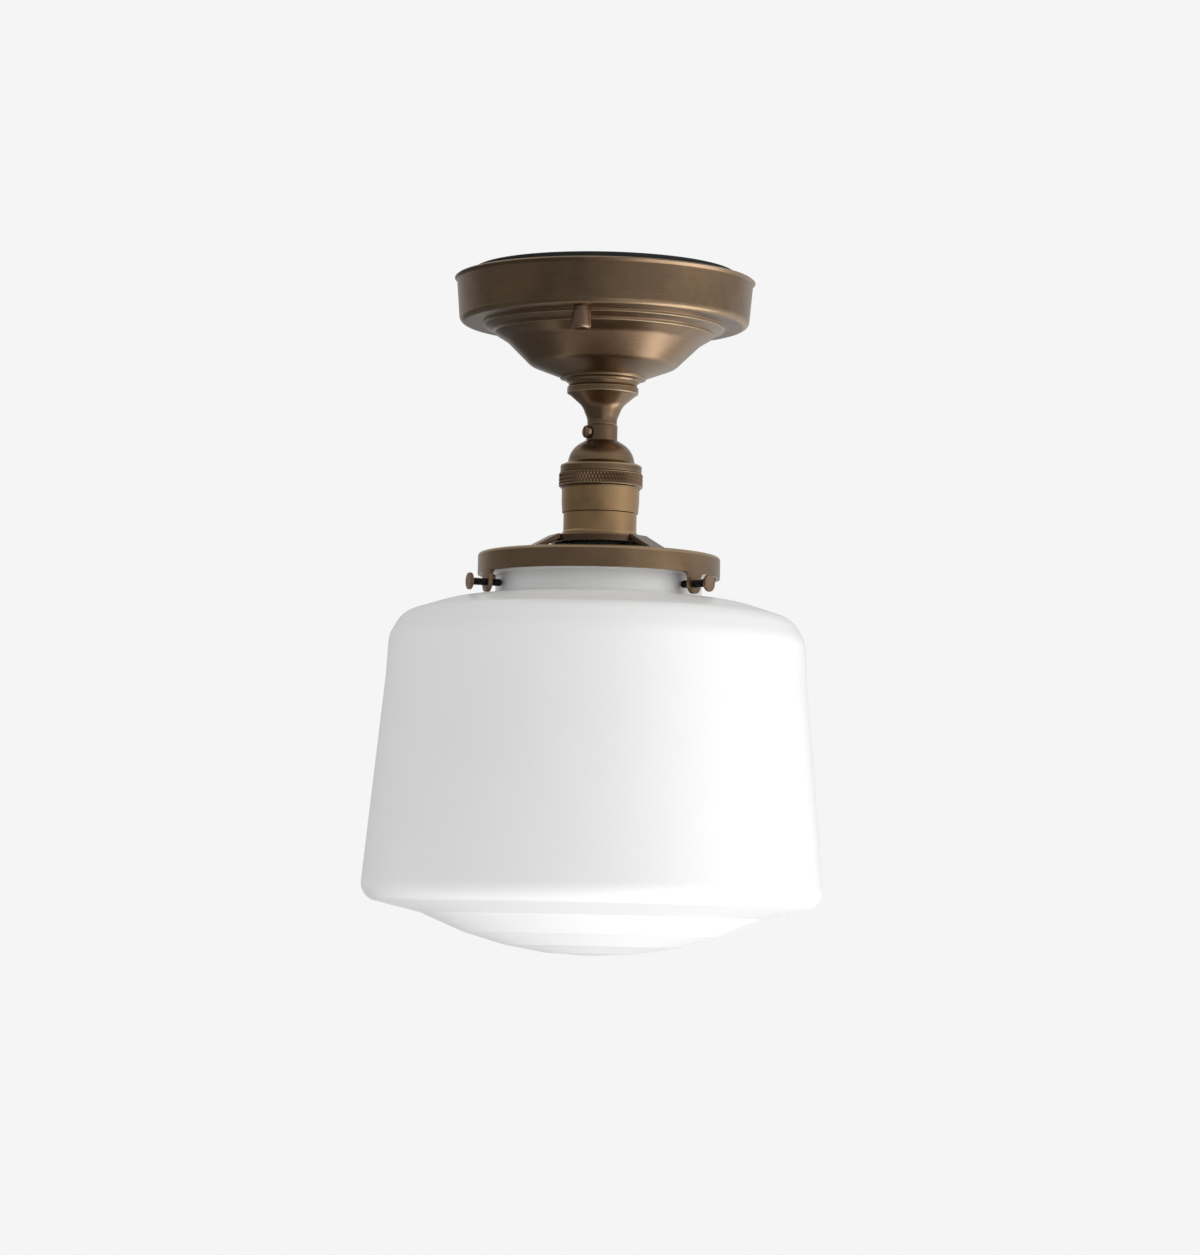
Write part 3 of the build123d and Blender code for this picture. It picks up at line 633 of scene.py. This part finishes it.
def opalFinish(name, look):
    # white cased glass: an even milk with a soft gloss and a very slight wave in the surface
    finish, tree, shader = newFinish(name)
    place = addNode(tree, "ShaderNodeTexCoord").outputs["Object"]
    milk = noiseAt(tree, place, 9.0, 3.0)
    wave = noiseAt(tree, place, 22.0, 2.0)
    tree.links.new(ramp(tree, milk, [(0.3, look["milk"]), (0.7, look["thin"])]), shader.inputs["Base Color"])
    rough = mathNode(tree, "ADD", mathNode(tree, "MULTIPLY", wave, 0.06), look["roughness"])
    tree.links.new(rough, shader.inputs["Roughness"])
    shader.inputs["IOR"].default_value = 1.5
    shader.inputs["Subsurface Weight"].default_value = 0.15
    shader.inputs["Subsurface Radius"].default_value = (0.010, 0.010, 0.011)
    shader.inputs["Subsurface Scale"].default_value = 1.0
    bumpFrom(tree, shader, wave, look["wave"], 0.002)
    return finish


finishes = {
    "aged_brass": brassFinish("agedBrass", agedBrassLook),
    "bright_brass": brassFinish("warmBrass", {**agedBrassLook, "dark": (0.26, 0.155, 0.10), "brown": (0.40, 0.255, 0.165), "gold": (0.56, 0.39, 0.25), "patinaScale": 120.0, "brushAcross": 7000.0}),
    "black_rubber": plainFinish("blackRubber", (0.010, 0.010, 0.010), (0.020, 0.020, 0.020), 0.75, grain=1500.0, bump=0.2),
    "zinc_steel": plainFinish("zincPlate", (0.48, 0.48, 0.47), (0.62, 0.62, 0.60), 0.35, 1.0, grain=1800.0),
    "green_steel": plainFinish("greenScrew", (0.03, 0.16, 0.07), (0.05, 0.24, 0.10), 0.35, 0.8),
    "black_steel": plainFinish("blackOxide", (0.010, 0.010, 0.010), (0.022, 0.021, 0.020), 0.42, 0.6, grain=2500.0),
    "opal_glass": opalFinish("opalGlass", opalLook),
    "porcelain": plainFinish("glazedPorcelain", (0.72, 0.70, 0.65), (0.78, 0.77, 0.72), 0.18, grain=400.0, Coat_Weight=0.5),
    "fibre": plainFinish("vulcanFibre", (0.09, 0.05, 0.03), (0.14, 0.09, 0.06), 0.7, grain=700.0, bump=0.3),
    "black_plastic": plainFinish("blackPhenolic", (0.012, 0.012, 0.012), (0.02, 0.02, 0.02), 0.4),
    "orange_plastic": plainFinish("orangePlastic", (0.60, 0.16, 0.02), (0.66, 0.20, 0.03), 0.35),
    "black_lead": plainFinish("blackInsulation", (0.012, 0.012, 0.012), (0.02, 0.02, 0.02), 0.45),
    "white_lead": plainFinish("whiteInsulation", (0.66, 0.66, 0.63), (0.72, 0.72, 0.70), 0.45),
    "green_lead": plainFinish("greenInsulation", (0.03, 0.18, 0.07), (0.04, 0.24, 0.10), 0.45),
    "bulb_metal": plainFinish("capMetal", (0.60, 0.60, 0.58), (0.70, 0.70, 0.68), 0.28, 1.0, grain=2200.0),
    "black_glass": plainFinish("blackInsulator", (0.010, 0.010, 0.012), (0.018, 0.018, 0.020), 0.12, Coat_Weight=0.6),
    "bulb_glass": plainFinish("frostedBulb", (0.82, 0.82, 0.80), (0.88, 0.88, 0.86), 0.32, Transmission_Weight=0.55),
    "tungsten": plainFinish("tungstenWire", (0.20, 0.20, 0.20), (0.32, 0.32, 0.31), 0.4, 1.0, grain=4000.0),
}
# painted shade: a darker copy of the aged brass for the holder's hub and arms, which are one piece with the lighter
# band
shadedBrass = brassFinish("shadedBrass", {**agedBrassLook, "dark": (0.085, 0.050, 0.030), "brown": (0.165, 0.098, 0.058), "gold": (0.34, 0.22, 0.13)})
nutBrass = brassFinish("nutBrass", {**agedBrassLook, "dark": (0.16, 0.095, 0.060), "brown": (0.26, 0.16, 0.105), "gold": (0.44, 0.30, 0.19), "patinaScale": 90.0})
shellBrass = brassFinish("shellBrass", {**agedBrassLook, "dark": (0.34, 0.21, 0.105), "brown": (0.52, 0.33, 0.165), "gold": (0.64, 0.46, 0.26), "patinaScale": 60.0})
print("finishes made:", len(finishes) + 3)

# every carried-over node first gets the finish of its own slot
slotOf = {part["node"]: part["material_slot"] for part in frame["record"]["subparts"]}
for nodeName, node in frame["nodes"].items():
    if node.type == "MESH":
        node.data.materials.clear()
        node.data.materials.append(finishes[slotOf[nodeName]])


# canopy
canopySizes = {
    "lip": (68.6, -4.1), "side": (67.5, -5.4), "sideFoot": (65.9, -24.4),
    "ring1": (55.4, -24.4), "ring1Foot": (54.9, -25.8),
    "ring2": (50.3, -27.5), "ring2Foot": (49.9, -28.8),
    "bowlTop": (44.309, -32.292), "bowlFoot": (33.216, -43.195),
    "neckStep1": (20.0, -48.2), "neckStep1Foot": (19.5, -49.2), "neckStep2": (17.2, -49.7),
    "neck": (16.6, -50.6), "hole": (5.25, -50.6), "wall": 1.0,
}
canopyCorners = [canopySizes[key] for key in list(canopySizes)[:-1]]
canopyRadii = [0.5, 3.0, 0.5, 0.4, 0.6, 0.4, 9, 8, 0.4, 0.3, 0.3, 0.3]
nutSizes = {
    "radius": 4.1, "footRadius": 4.5, "neckRadius": 3.3, "top": -24.5, "neckFoot": -26.7, "bottom": -34.6,
    "spigotRadius": 2.75, "spigotTop": -21.5, "round": 1.4, "studY": 59.0, "bore": 2.15, "boreTop": -33.1, "hole": 3.0,
}
canopy = turned("canopyPan", sheetOutline(canopyCorners, canopyRadii, canopySizes["wall"]), finishes["aged_brass"], segments=220)
for side in (-1, 1):
    tool = plainRod("nutHole", nutSizes["hole"], -18, -28, finishes["aged_brass"], segments=48)
    carve(canopy, settle(tool, Matrix.Translation((0, side * nutSizes["studY"] * mm, 0))))
faceOutwards(canopy.data, 32)
fit(canopy, "fixture", "aged_brass", "canopy")

# barrel nuts under the canopy
for number, side, body in ((1, -1, "canopy_nut_near"), (2, 1, "canopy_nut_far")):
    outline = roundedLine([
        (nutSizes["bore"], nutSizes["spigotTop"]), (nutSizes["spigotRadius"], nutSizes["spigotTop"]),
        (nutSizes["spigotRadius"], nutSizes["top"]), (nutSizes["neckRadius"], nutSizes["top"]),
        (nutSizes["neckRadius"], nutSizes["neckFoot"]), (nutSizes["radius"], nutSizes["neckFoot"]),
        (nutSizes["footRadius"], nutSizes["bottom"]), (0, nutSizes["bottom"]),
    ], [0.15, 0.1, 0.15, 0.15, 0.35, nutSizes["round"]])
    outline += [(0, nutSizes["boreTop"]), (nutSizes["bore"], nutSizes["boreTop"]), (nutSizes["bore"], nutSizes["spigotTop"])]
    nut = turned(f"barrelNut{number}", outline, nutBrass, segments=56)
    settle(nut, Matrix.Translation((0, side * nutSizes["studY"] * mm, 0)))
    fit(nut, body, "aged_brass", f"canopy_nut_{number}")

# canopy studs
studSizes = {"radius": 2.08, "depth": 0.34, "pitch": 0.794, "top": -3.0, "bottom": -32.3}
for number, side in ((1, -1), (2, 1)):
    stud = threaded(f"stud{number}", studSizes["radius"], studSizes["depth"], studSizes["pitch"], studSizes["bottom"], studSizes["top"], finishes["zinc_steel"], steps=20)
    settle(stud, Matrix.Translation((0, side * nutSizes["studY"] * mm, 0)))
    fit(stud, "fixture", "zinc_steel", f"canopy_stud_{number}")

# neck coupling
couplingLine = roundedLine([
    (5.1, -50.6), (15.95, -50.6), (15.45, -52.1), (16.25, -53.2), (16.25, -55.8), (15.05, -56.4),
    (9.25, -61.4), (6.75, -67.5), (6.75, -70.1), (5.1, -70.1), (5.1, -50.6),
], [0.2, 0.4, 0.5, 0.5, 0.4, 8, 5, 0.2, 0.1])
coupling = turned("neckCoupling", couplingLine, finishes["aged_brass"], segments=96)
fit(coupling, "fixture", "aged_brass", "neck_coupling")

# socket cap and its knurl
capSizes = {"collar": -77.3, "foot": -99.4, "spigot": 6.2, "top": 7.4, "dome": 15.2, "shoulder": 18.5, "knurl": 19.1, "lip": 18.1, "wall": 0.4}
knurlSizes = {"around": 76, "rows": 3, "depth": 0.5, "low": -98.05, "high": -92.85}
knurlFloor = capSizes["knurl"] - knurlSizes["depth"]
capCorners = [
    (capSizes["spigot"], capSizes["collar"]), (capSizes["top"], capSizes["collar"]),
    (capSizes["dome"] - 1.1, capSizes["collar"] - 4.04), (capSizes["dome"], capSizes["collar"] - 10.1),
    (capSizes["shoulder"], capSizes["collar"] - 11.5), (capSizes["shoulder"], capSizes["foot"] + 7.6),
    (capSizes["shoulder"] - 0.35, capSizes["foot"] + 7.1), (capSizes["knurl"] - 0.05, capSizes["foot"] + 6.75),
    (capSizes["knurl"] - 0.05, capSizes["foot"] + 6.45), (knurlFloor, capSizes["foot"] + 6.25),
    (knurlFloor, capSizes["foot"] + 1.65), (capSizes["knurl"], capSizes["foot"] + 1.5),
    (capSizes["knurl"], capSizes["foot"] + 0.95),
    (capSizes["lip"] + 0.15, capSizes["foot"] + 0.45), (capSizes["lip"], capSizes["foot"]),
]
capRadii = [0.4, 11, 0.8, 0.9, 0.2, 0.15, 0.15, 0.15, 0.1, 0.1, 0.2, 0.25, 0.2]
cap = turned("socketCap", sheetOutline(capCorners, capRadii, capSizes["wall"]), finishes["aged_brass"], segments=160)
rowHeight = (knurlSizes["high"] - knurlSizes["low"]) / knurlSizes["rows"]
knurl = rowsOf(
    "capKnurl", knurlSizes["around"], knurlSizes["rows"], knurlFloor - 0.02, knurlSizes["low"], knurlSizes["high"],
    knurlSizes["depth"], math.pi * knurlFloor / knurlSizes["around"], rowHeight, finishes["aged_brass"],
)
cap = joinPieces("socketCap", [cap, knurl])
fit(cap, "fixture", "aged_brass", "socket_cap")

# socket shell
shellCorners = [
    (17.66, -92.6), (17.66, -104.9), (17.3, -110.5), (16.65, -110.85), (16.65, -119.0),
    (17.0, -119.45), (17.0, -121.2), (15.6, -121.2), (15.6, -127.5),
]
shell = turned("socketShell", sheetOutline(shellCorners, [20, 0.2, 0.2, 0.3, 0.4, 0.6, 0.08], 0.5), shellBrass, segments=128)
fit(shell, "fixture", "aged_brass", "socket_shell")

# shade holder: a ring with three ears and three arms up to the hub
holderSizes = {
    "radius": 55.0, "wall": 1.9, "sheet": 1.6, "corner": 1.5, "flange": 17.6, "top": -129.75, "bandFoot": -139.55,
    "earWidth": 8.3, "earFoot": -149.05, "earFillet": 3.0, "armWidth": 12.0, "armSheet": 2.6, "hub": 22.3, "hubHole": 15.7,
    "hubTop": -121.2, "hubRim": 3.4, "firstArm": 92.0, "thumbHeight": -144.55, "hole": 1.78,
}
armAngles = [holderSizes["firstArm"] + 120 * index for index in range(3)]
outer, inner = holderSizes["radius"], holderSizes["radius"] - holderSizes["wall"]
flangeInner = outer - holderSizes["flange"]
sheetFoot = holderSizes["top"] - holderSizes["sheet"]
skirtEnd = holderSizes["earFoot"] - 1
ringLine = roundedLine([
    (flangeInner, (holderSizes["top"] + sheetFoot) / 2), (flangeInner, holderSizes["top"]), (outer, holderSizes["top"]),
    (outer, skirtEnd), (inner, skirtEnd), (inner, sheetFoot), (flangeInner, sheetFoot),
    (flangeInner, (holderSizes["top"] + sheetFoot) / 2),
], [0.5, holderSizes["corner"], 0.2, 0.2, 0.3, 0.5])
holder = turned("shadeHolder", ringLine, finishes["aged_brass"], segments=240, longest=1.6)
below = turned("belowBand", [
    (outer + 3, holderSizes["bandFoot"]), (outer + 3, skirtEnd - 2), (inner - 3, skirtEnd - 2),
    (inner - 3, holderSizes["bandFoot"]), (outer + 3, holderSizes["bandFoot"]),
], finishes["aged_brass"], segments=240)


def earOutline():
    # half-round foot, straight sides, small hollows where they run into the band
    half, hollow = holderSizes["earWidth"] / 2, holderSizes["earFillet"]
    footCentre = holderSizes["earFoot"] + half
    band = holderSizes["bandFoot"]
    points = [(-half - hollow - 2, band + 1), (-half - hollow - 2, band)]
    points += [(-half - hollow + hollow * math.sin(t), band - hollow + hollow * math.cos(t)) for t in [math.pi / 2 * k / 8 for k in range(9)]]
    points += [(-half * math.cos(t), footCentre - half * math.sin(t)) for t in [math.pi * k / 24 for k in range(25)]]
    points += [(half + hollow - hollow * math.sin(t), band - hollow + hollow * math.cos(t)) for t in [math.pi / 2 * k / 8 for k in range(8, -1, -1)]]
    points += [(half + hollow + 2, band), (half + hollow + 2, band + 1)]
    return points


for angle in armAngles:
    ear = extrudedOutline("earShape", earOutline(), outer - 8, outer + 6, finishes["aged_brass"])
    carve(below, settle(ear, Matrix.Rotation(math.radians(angle), 4, "Z")))
carve(holder, below)
for angle in armAngles:
    tool = plainRod("thumbHole", holderSizes["hole"], outer + 4, inner - 4, finishes["aged_brass"])
    carve(holder, settle(tool, outwardPlace(angle, holderSizes["thumbHeight"])))
withModifier(holder, "BEVEL", width=0.22 * mm, segments=2, limit_method="ANGLE", angle_limit=math.radians(50))
hubLine = roundedLine([
    (holderSizes["hubHole"], holderSizes["hubTop"]), (holderSizes["hub"], holderSizes["hubTop"]),
    (holderSizes["hub"], holderSizes["hubTop"] - holderSizes["hubRim"]),
    (holderSizes["hub"] - holderSizes["sheet"], holderSizes["hubTop"] - holderSizes["hubRim"]),
    (holderSizes["hub"] - holderSizes["sheet"], holderSizes["hubTop"] - holderSizes["sheet"]),
    (holderSizes["hubHole"], holderSizes["hubTop"] - holderSizes["sheet"]), (holderSizes["hubHole"], holderSizes["hubTop"]),
], [0.6, 0.3, 0.3, 0.3, 0.1])
hub = turned("holderHub", hubLine, shadedBrass, segments=128, longest=1.6)
armSide = [
    (holderSizes["hub"] - 1.4, holderSizes["hubTop"] - 0.02), (holderSizes["hub"], holderSizes["hubTop"] - 0.02),
    (flangeInner + 0.6, holderSizes["top"] + 0.02), (flangeInner + 2.0, holderSizes["top"] - 0.05),
    (flangeInner + 2.0, sheetFoot + 0.05), (flangeInner - 1.2, sheetFoot + 0.02),
    (holderSizes["hub"] - 0.4, holderSizes["hubTop"] - holderSizes["armSheet"] + 0.02),
    (holderSizes["hub"] - 1.4, holderSizes["hubTop"] - holderSizes["armSheet"] + 0.02),
]
arms = []
for angle in armAngles:
    arm = extrudedOutline("holderArm", armSide, -holderSizes["armWidth"] / 2, holderSizes["armWidth"] / 2, shadedBrass)
    withModifier(arm, "BEVEL", width=0.35 * mm, segments=3, limit_method="ANGLE", angle_limit=math.radians(30))
    faceOutwards(arm.data, 50)
    arms.append(settle(arm, Matrix.Rotation(math.radians(angle - 90), 4, "Z")))
faceOutwards(holder.data, 32)
holder = joinPieces("shadeHolder", [holder, hub] + arms)
fit(holder, "fixture", "aged_brass", "shade_holder")

# thumbscrews: a black thread with a ribbed brass head
thumbSizes = {
    "radius": 1.72, "depth": 0.30, "pitch": 0.794, "tip": 47.1, "headInner": 61.6, "seat": 0.8, "head": 3.85,
    "thick": 1.5, "ribs": 46, "ribDepth": 0.22, "pocket": 1.78,
}
for number, angle in enumerate(armAngles, 1):
    place = outwardPlace(angle, holderSizes["thumbHeight"])
    seatEnd = thumbSizes["headInner"] + thumbSizes["seat"]
    shank = threaded(f"thumbShank{number}", thumbSizes["radius"], thumbSizes["depth"], thumbSizes["pitch"], thumbSizes["tip"] + 1.2, seatEnd, finishes["black_steel"], steps=20)
    tip = turned(f"thumbTip{number}", roundedLine([
        (0, thumbSizes["tip"] + 1.4), (thumbSizes["radius"] - 0.15, thumbSizes["tip"] + 1.4),
        (thumbSizes["radius"] - 0.15, thumbSizes["tip"]), (0, thumbSizes["tip"]),
    ], [0.05, 1.1]), finishes["black_steel"], segments=32)
    shank = joinPieces(f"thumbShank{number}", [shank, tip])
    fit(settle(shank, place), f"thumb_{number}_shank", "black_steel", f"thumb_shank_{number}")
    headLow, headHigh = thumbSizes["headInner"], thumbSizes["headInner"] + thumbSizes["thick"]
    face = thumbSizes["head"] - thumbSizes["ribDepth"]
    headLine = roundedLine([
        (thumbSizes["pocket"], headLow), (face, headLow), (face, headHigh), (0, headHigh),
    ], [0.15, 0.28]) + [(0, seatEnd + 0.1), (thumbSizes["pocket"], seatEnd + 0.1), (thumbSizes["pocket"], headLow)]
    head = turned(f"thumbHead{number}", headLine, finishes["bright_brass"], segments=92, longest=0.8)
    ribs = rowsOf(
        f"thumbRibs{number}", thumbSizes["ribs"], 1, face - 0.02, headLow, headHigh, thumbSizes["ribDepth"],
        math.pi * face / thumbSizes["ribs"] * 1.25, thumbSizes["thick"] * 0.56, finishes["bright_brass"], crest=0.55,
    )
    head = joinPieces(f"thumbHead{number}", [head, ribs])
    fit(settle(head, place), f"thumb_{number}_head", "bright_brass", f"thumb_head_{number}")

# opal shade
shadeSizes = {
    "lip": (49.2, -131.65), "lipFoot": (49.2, -138.05), "neck": (46.8, -139.45), "neckFoot": (46.8, -149.8),
    "shoulderTop": (65.92, -150.7), "shoulder": (88.6, -158.0), "sideTop": (94.4, -168.0), "side": (95.4, -186.3),
    "foot": (104.9, -286.7), "bowlEdge": (76.8, -293.2), "wall": 3.0, "bottom": -311.0,
}
edgeRadius, bowlDrop = shadeSizes["bowlEdge"][0], shadeSizes["bowlEdge"][1] - shadeSizes["bottom"]
bowlCorner = (edgeRadius ** 2 + bowlDrop ** 2) / (2 * edgeRadius)
bowlCurve = (edgeRadius ** 2 + bowlDrop ** 2) / (2 * bowlDrop)
shadeCorners = [shadeSizes[key] for key in list(shadeSizes)[:10]] + [(bowlCorner, shadeSizes["bottom"]), (0, shadeSizes["bottom"])]
shadeRadii = [1.2, 1.2, 2.4, 50, 12, 12, 60, 8.5, 2.0, bowlCurve * 0.95]
shade = turned("opalShade", sheetOutline(shadeCorners, shadeRadii, shadeSizes["wall"]), finishes["opal_glass"], segments=200, longest=5.0)
fit(shade, "shade", "opal_glass", "glass_shade")
print("turned pieces made")

# ring nut under the holder's hub
ringNutSizes = {"radius": 17.3, "bore": 15.65, "top": -122.8, "bottom": -126.9, "ribs": 40, "ribDepth": 0.5}
ringNutLine = roundedLine([
    (ringNutSizes["bore"], ringNutSizes["top"]), (ringNutSizes["radius"] - ringNutSizes["ribDepth"], ringNutSizes["top"]),
    (ringNutSizes["radius"] - ringNutSizes["ribDepth"], ringNutSizes["bottom"]), (ringNutSizes["bore"], ringNutSizes["bottom"]),
    (ringNutSizes["bore"], ringNutSizes["top"]),
], [0.2, 0.3, 0.2])
ringNut = turned("ringNut", ringNutLine, finishes["black_plastic"], segments=96)
nutRibs = rowsOf(
    "ringNutRibs", ringNutSizes["ribs"], 1, ringNutSizes["radius"] - ringNutSizes["ribDepth"] - 0.02, ringNutSizes["bottom"], ringNutSizes["top"],
    ringNutSizes["ribDepth"], 0.85, 2.3, finishes["black_plastic"], crest=0.5,
)
fit(joinPieces("ringNut", [ringNut, nutRibs]), "fixture", "black_plastic", "shade_ring_nut")

# the rest keep their CAD shapes, merged and eased
bodyOf = {node: body for body, nodes in frame["record"]["behaviour"]["bodies"].items() for node in nodes}
for pieceName, nodeName, bevel in (
    ("gasket", "ceiling_gasket", 0.5), ("crossbar", "crossbar", 0.2), ("groundScrew", "ground_screw", 0.15),
    ("studLocknut1", "stud_locknut_1", 0.2), ("studLocknut2", "stud_locknut_2", 0.2), ("nippleLocknut", "nipple_locknut", 0.25),
    ("groundRing", "ground_ring", 0.1), ("lockWasher", "lock_washer", 0.12), ("socketCollar", "socket_collar", 0.15),
    ("setScrew", "set_screw", 0.12), ("sleeve", "insulating_sleeve", 0.1), ("hotTerminal", "hot_terminal", 0.1),
    ("neutralTerminal", "neutral_terminal", 0.1), ("socketBody", "socket_body", 0.2), ("screwShell", "screw_shell", 0.1),
    ("centreContact", "centre_contact", 0.1), ("bulbContact", "bulb_contact", 0.1), ("bulbInsulator", "bulb_insulator", 0.1),
    ("bulbBase", "bulb_base", 0.0), ("bulbGlass", "bulb_glass", 0.0), ("bulbStem", "bulb_stem", 0.0),
    ("filament", "bulb_filament", 0.0), ("hotLead", "hot_lead", 0.0), ("neutralLead", "neutral_lead", 0.0),
    ("groundLead", "ground_lead", 0.0), ("connector1", "wire_connector_1", 0.3), ("connector2", "wire_connector_2", 0.3),
    ("nipple", "nipple", 0.1),
):
    softCopy(pieceName, nodeName, bodyOf[nodeName], bevel)
print("carried-over pieces eased")


# stage, light and camera
def softBox(name, place, target, size, power, color=(1, 1, 1)):
    light = bpy.data.lights.new(name, "AREA")
    light.shape = "RECTANGLE"
    light.size, light.size_y = size
    light.energy = power
    light.color = color
    lamp = bpy.data.objects.new(name, light)
    bpy.context.scene.collection.objects.link(lamp)
    lamp.location = place
    lamp.rotation_euler = (Vector(target) - Vector(place)).to_track_quat("-Z", "Y").to_euler()
    return lamp


def paperFinish(name, white, shade, toRight):
    # lit paper for the object's light, plain white to the camera; in reflections it glows with painted shade, greyer
    # towards the left
    finish, tree, shader = newFinish(name)
    shader.inputs["Base Color"].default_value = (0.8, 0.8, 0.8, 1)
    shader.inputs["Roughness"].default_value = 0.9
    glow = addNode(tree, "ShaderNodeEmission")
    glow.inputs["Color"].default_value = (white, white, white, 1)
    path = addNode(tree, "ShaderNodeLightPath")
    split = addNode(tree, "ShaderNodeSeparateXYZ")
    tree.links.new(addNode(tree, "ShaderNodeNewGeometry").outputs["Position"], split.inputs[0])
    sideways = mathNode(tree, "ADD", mathNode(tree, "MULTIPLY", split.outputs[0], toRight[0]), mathNode(tree, "MULTIPLY", split.outputs[1], toRight[1]))
    # painted shade: the glow seen in reflections darkens towards the left
    grey = ramp(tree, mathNode(tree, "MULTIPLY_ADD", sideways, 0.25, 0.5), shade)
    grey.node.color_ramp.interpolation = "B_SPLINE"
    plain = mathNode(tree, "MAXIMUM", path.outputs["Is Camera Ray"], grey)
    tree.links.new(plain, glow.inputs["Strength"])
    seen = mathNode(tree, "MAXIMUM", path.outputs["Is Camera Ray"], mathNode(tree, "MAXIMUM", path.outputs["Is Glossy Ray"], path.outputs["Is Transmission Ray"]))
    mix = addNode(tree, "ShaderNodeMixShader")
    tree.links.new(seen, mix.inputs[0])
    tree.links.new(shader.outputs[0], mix.inputs[1])
    tree.links.new(glow.outputs[0], mix.inputs[2])
    tree.links.new(mix.outputs[0], tree.nodes["Material Output"].inputs["Surface"])
    return finish


studio = {
    "white": 0.913, "worldLight": 0.735, "floorHeight": -1.25, "floorSize": 14.0,
    "roomGrey": [(0.0, 0.60), (0.09, 0.40), (0.18, 0.14), (0.28, 0.14), (0.40, 0.20), (0.52, 0.28), (0.60, 0.50), (0.69, 1.0), (0.78, 0.55), (1.0, 0.60)],
    "floorShadeInReflections": [(0.0, 0.12), (0.30, 0.12), (0.48, 0.16), (0.56, 0.45), (0.66, 0.80), (1.0, 0.80)],
}
view = {"azimuth": 280.0, "distance": 1.9356, "height": -0.3128, "pitch": 4.442, "aside": 0.032, "roll": 1.2546, "lens": 128.4}
around = math.radians(view["azimuth"])
half = studio["floorSize"] / 2
floorMesh = bpy.data.meshes.new("floor")
floorMesh.from_pydata([(-half, -half, studio["floorHeight"]), (half, -half, studio["floorHeight"]), (half, half, studio["floorHeight"]), (-half, half, studio["floorHeight"])], [], [(0, 1, 2, 3)])
floorMesh.materials.append(paperFinish("floorPaper", studio["white"], studio["floorShadeInReflections"], (-math.sin(around), math.cos(around))))
floor = newPiece("floor", floorMesh)


def makeRoom():
    # white behind for the camera; metal and glass see the same white fall off into the room's darker side
    world = bpy.data.worlds.new("studio")
    bpy.context.scene.world = world
    world.use_nodes = True
    room = world.node_tree
    backdrop = room.nodes["Background"]
    backdrop.inputs["Color"].default_value = (1, 1, 1, 1)
    direction = addNode(room, "ShaderNodeTexCoord").outputs["Generated"]
    turned = addNode(room, "ShaderNodeVectorRotate", rotation_type="Z_AXIS")
    turned.inputs["Angle"].default_value = -around
    room.links.new(direction, turned.inputs["Vector"])
    split = addNode(room, "ShaderNodeSeparateXYZ")
    room.links.new(turned.outputs[0], split.inputs[0])
    sideways = mathNode(room, "ARCTAN2", split.outputs[1], split.outputs[0])
    share = mathNode(room, "MULTIPLY_ADD", sideways, 1 / (2 * math.pi), 0.5)
    grey = ramp(room, share, studio["roomGrey"])
    grey.node.color_ramp.interpolation = "B_SPLINE"
    steep = mathNode(room, "ABSOLUTE", split.outputs[2])
    levelled = mathNode(room, "ADD", mathNode(room, "MULTIPLY", grey, mathNode(room, "SUBTRACT", 1.0, steep)), mathNode(room, "MULTIPLY", steep, 0.62))
    path = addNode(room, "ShaderNodeLightPath")
    mirror = mathNode(room, "MAXIMUM", path.outputs["Is Glossy Ray"], path.outputs["Is Transmission Ray"])
    camera = mathNode(room, "MULTIPLY", path.outputs["Is Camera Ray"], studio["white"])
    seen = mathNode(room, "MULTIPLY", mathNode(room, "MULTIPLY", mirror, levelled), studio["white"])
    rest = mathNode(room, "SUBTRACT", 1.0, mathNode(room, "MAXIMUM", mirror, path.outputs["Is Camera Ray"]))
    light = mathNode(room, "MULTIPLY", rest, studio["worldLight"])
    room.links.new(mathNode(room, "ADD", mathNode(room, "ADD", camera, seen), light), backdrop.inputs["Strength"])


makeRoom()

eye = Vector((view["distance"] * math.cos(around), view["distance"] * math.sin(around), view["height"]))
heading = math.radians(view["azimuth"] - 180.0 - view["aside"])
pitch = math.radians(view["pitch"])
ahead = Vector((math.cos(pitch) * math.cos(heading), math.cos(pitch) * math.sin(heading), math.sin(pitch)))
right = Vector((math.sin(heading), -math.cos(heading), 0))
upward = right.cross(ahead)
axes = Matrix((right, upward, -ahead)).transposed().to_4x4()
cameraData = bpy.data.cameras.new("camera")
cameraData.sensor_fit = "HORIZONTAL"
cameraData.sensor_width = 36.0
cameraData.lens = view["lens"]
cameraData.clip_end = 60.0
camera = bpy.data.objects.new("camera", cameraData)
bpy.context.scene.collection.objects.link(camera)
camera.matrix_world = Matrix.Translation(eye) @ axes @ Matrix.Rotation(math.radians(view["roll"]), 4, "Z")
bpy.context.scene.camera = camera


def fromCamera(sideways, forward, up):
    # a place measured from the light's middle: to the right, towards the camera, upwards
    toCamera = Vector((math.cos(around), math.sin(around), 0))
    toRight = Vector((right.x, right.y, 0))
    return toRight * sideways + toCamera * forward + Vector((0, 0, up - 0.16))


middle = (0, 0, -0.16)
fills = [
    softBox("keyRight", fromCamera(1.5, 0.75, 0.45), middle, (2.0, 2.4), 18),
    softBox("under", fromCamera(0.0, 0.4, -0.85), middle, (1.0, 1.0), 3.0),
    softBox("leftFill", fromCamera(-1.4, -0.3, 0.0), middle, (1.2, 1.2), 2.3),
]
for lamp in fills:
    lamp.visible_glossy = False
softBox("lowRight", fromCamera(0.64, 0.0, -0.78), middle, (0.8, 0.8), 5.0)
print("stage, lights and camera set")

bpy.context.scene.view_settings.view_transform = "Standard"
bpy.context.view_layer.update()
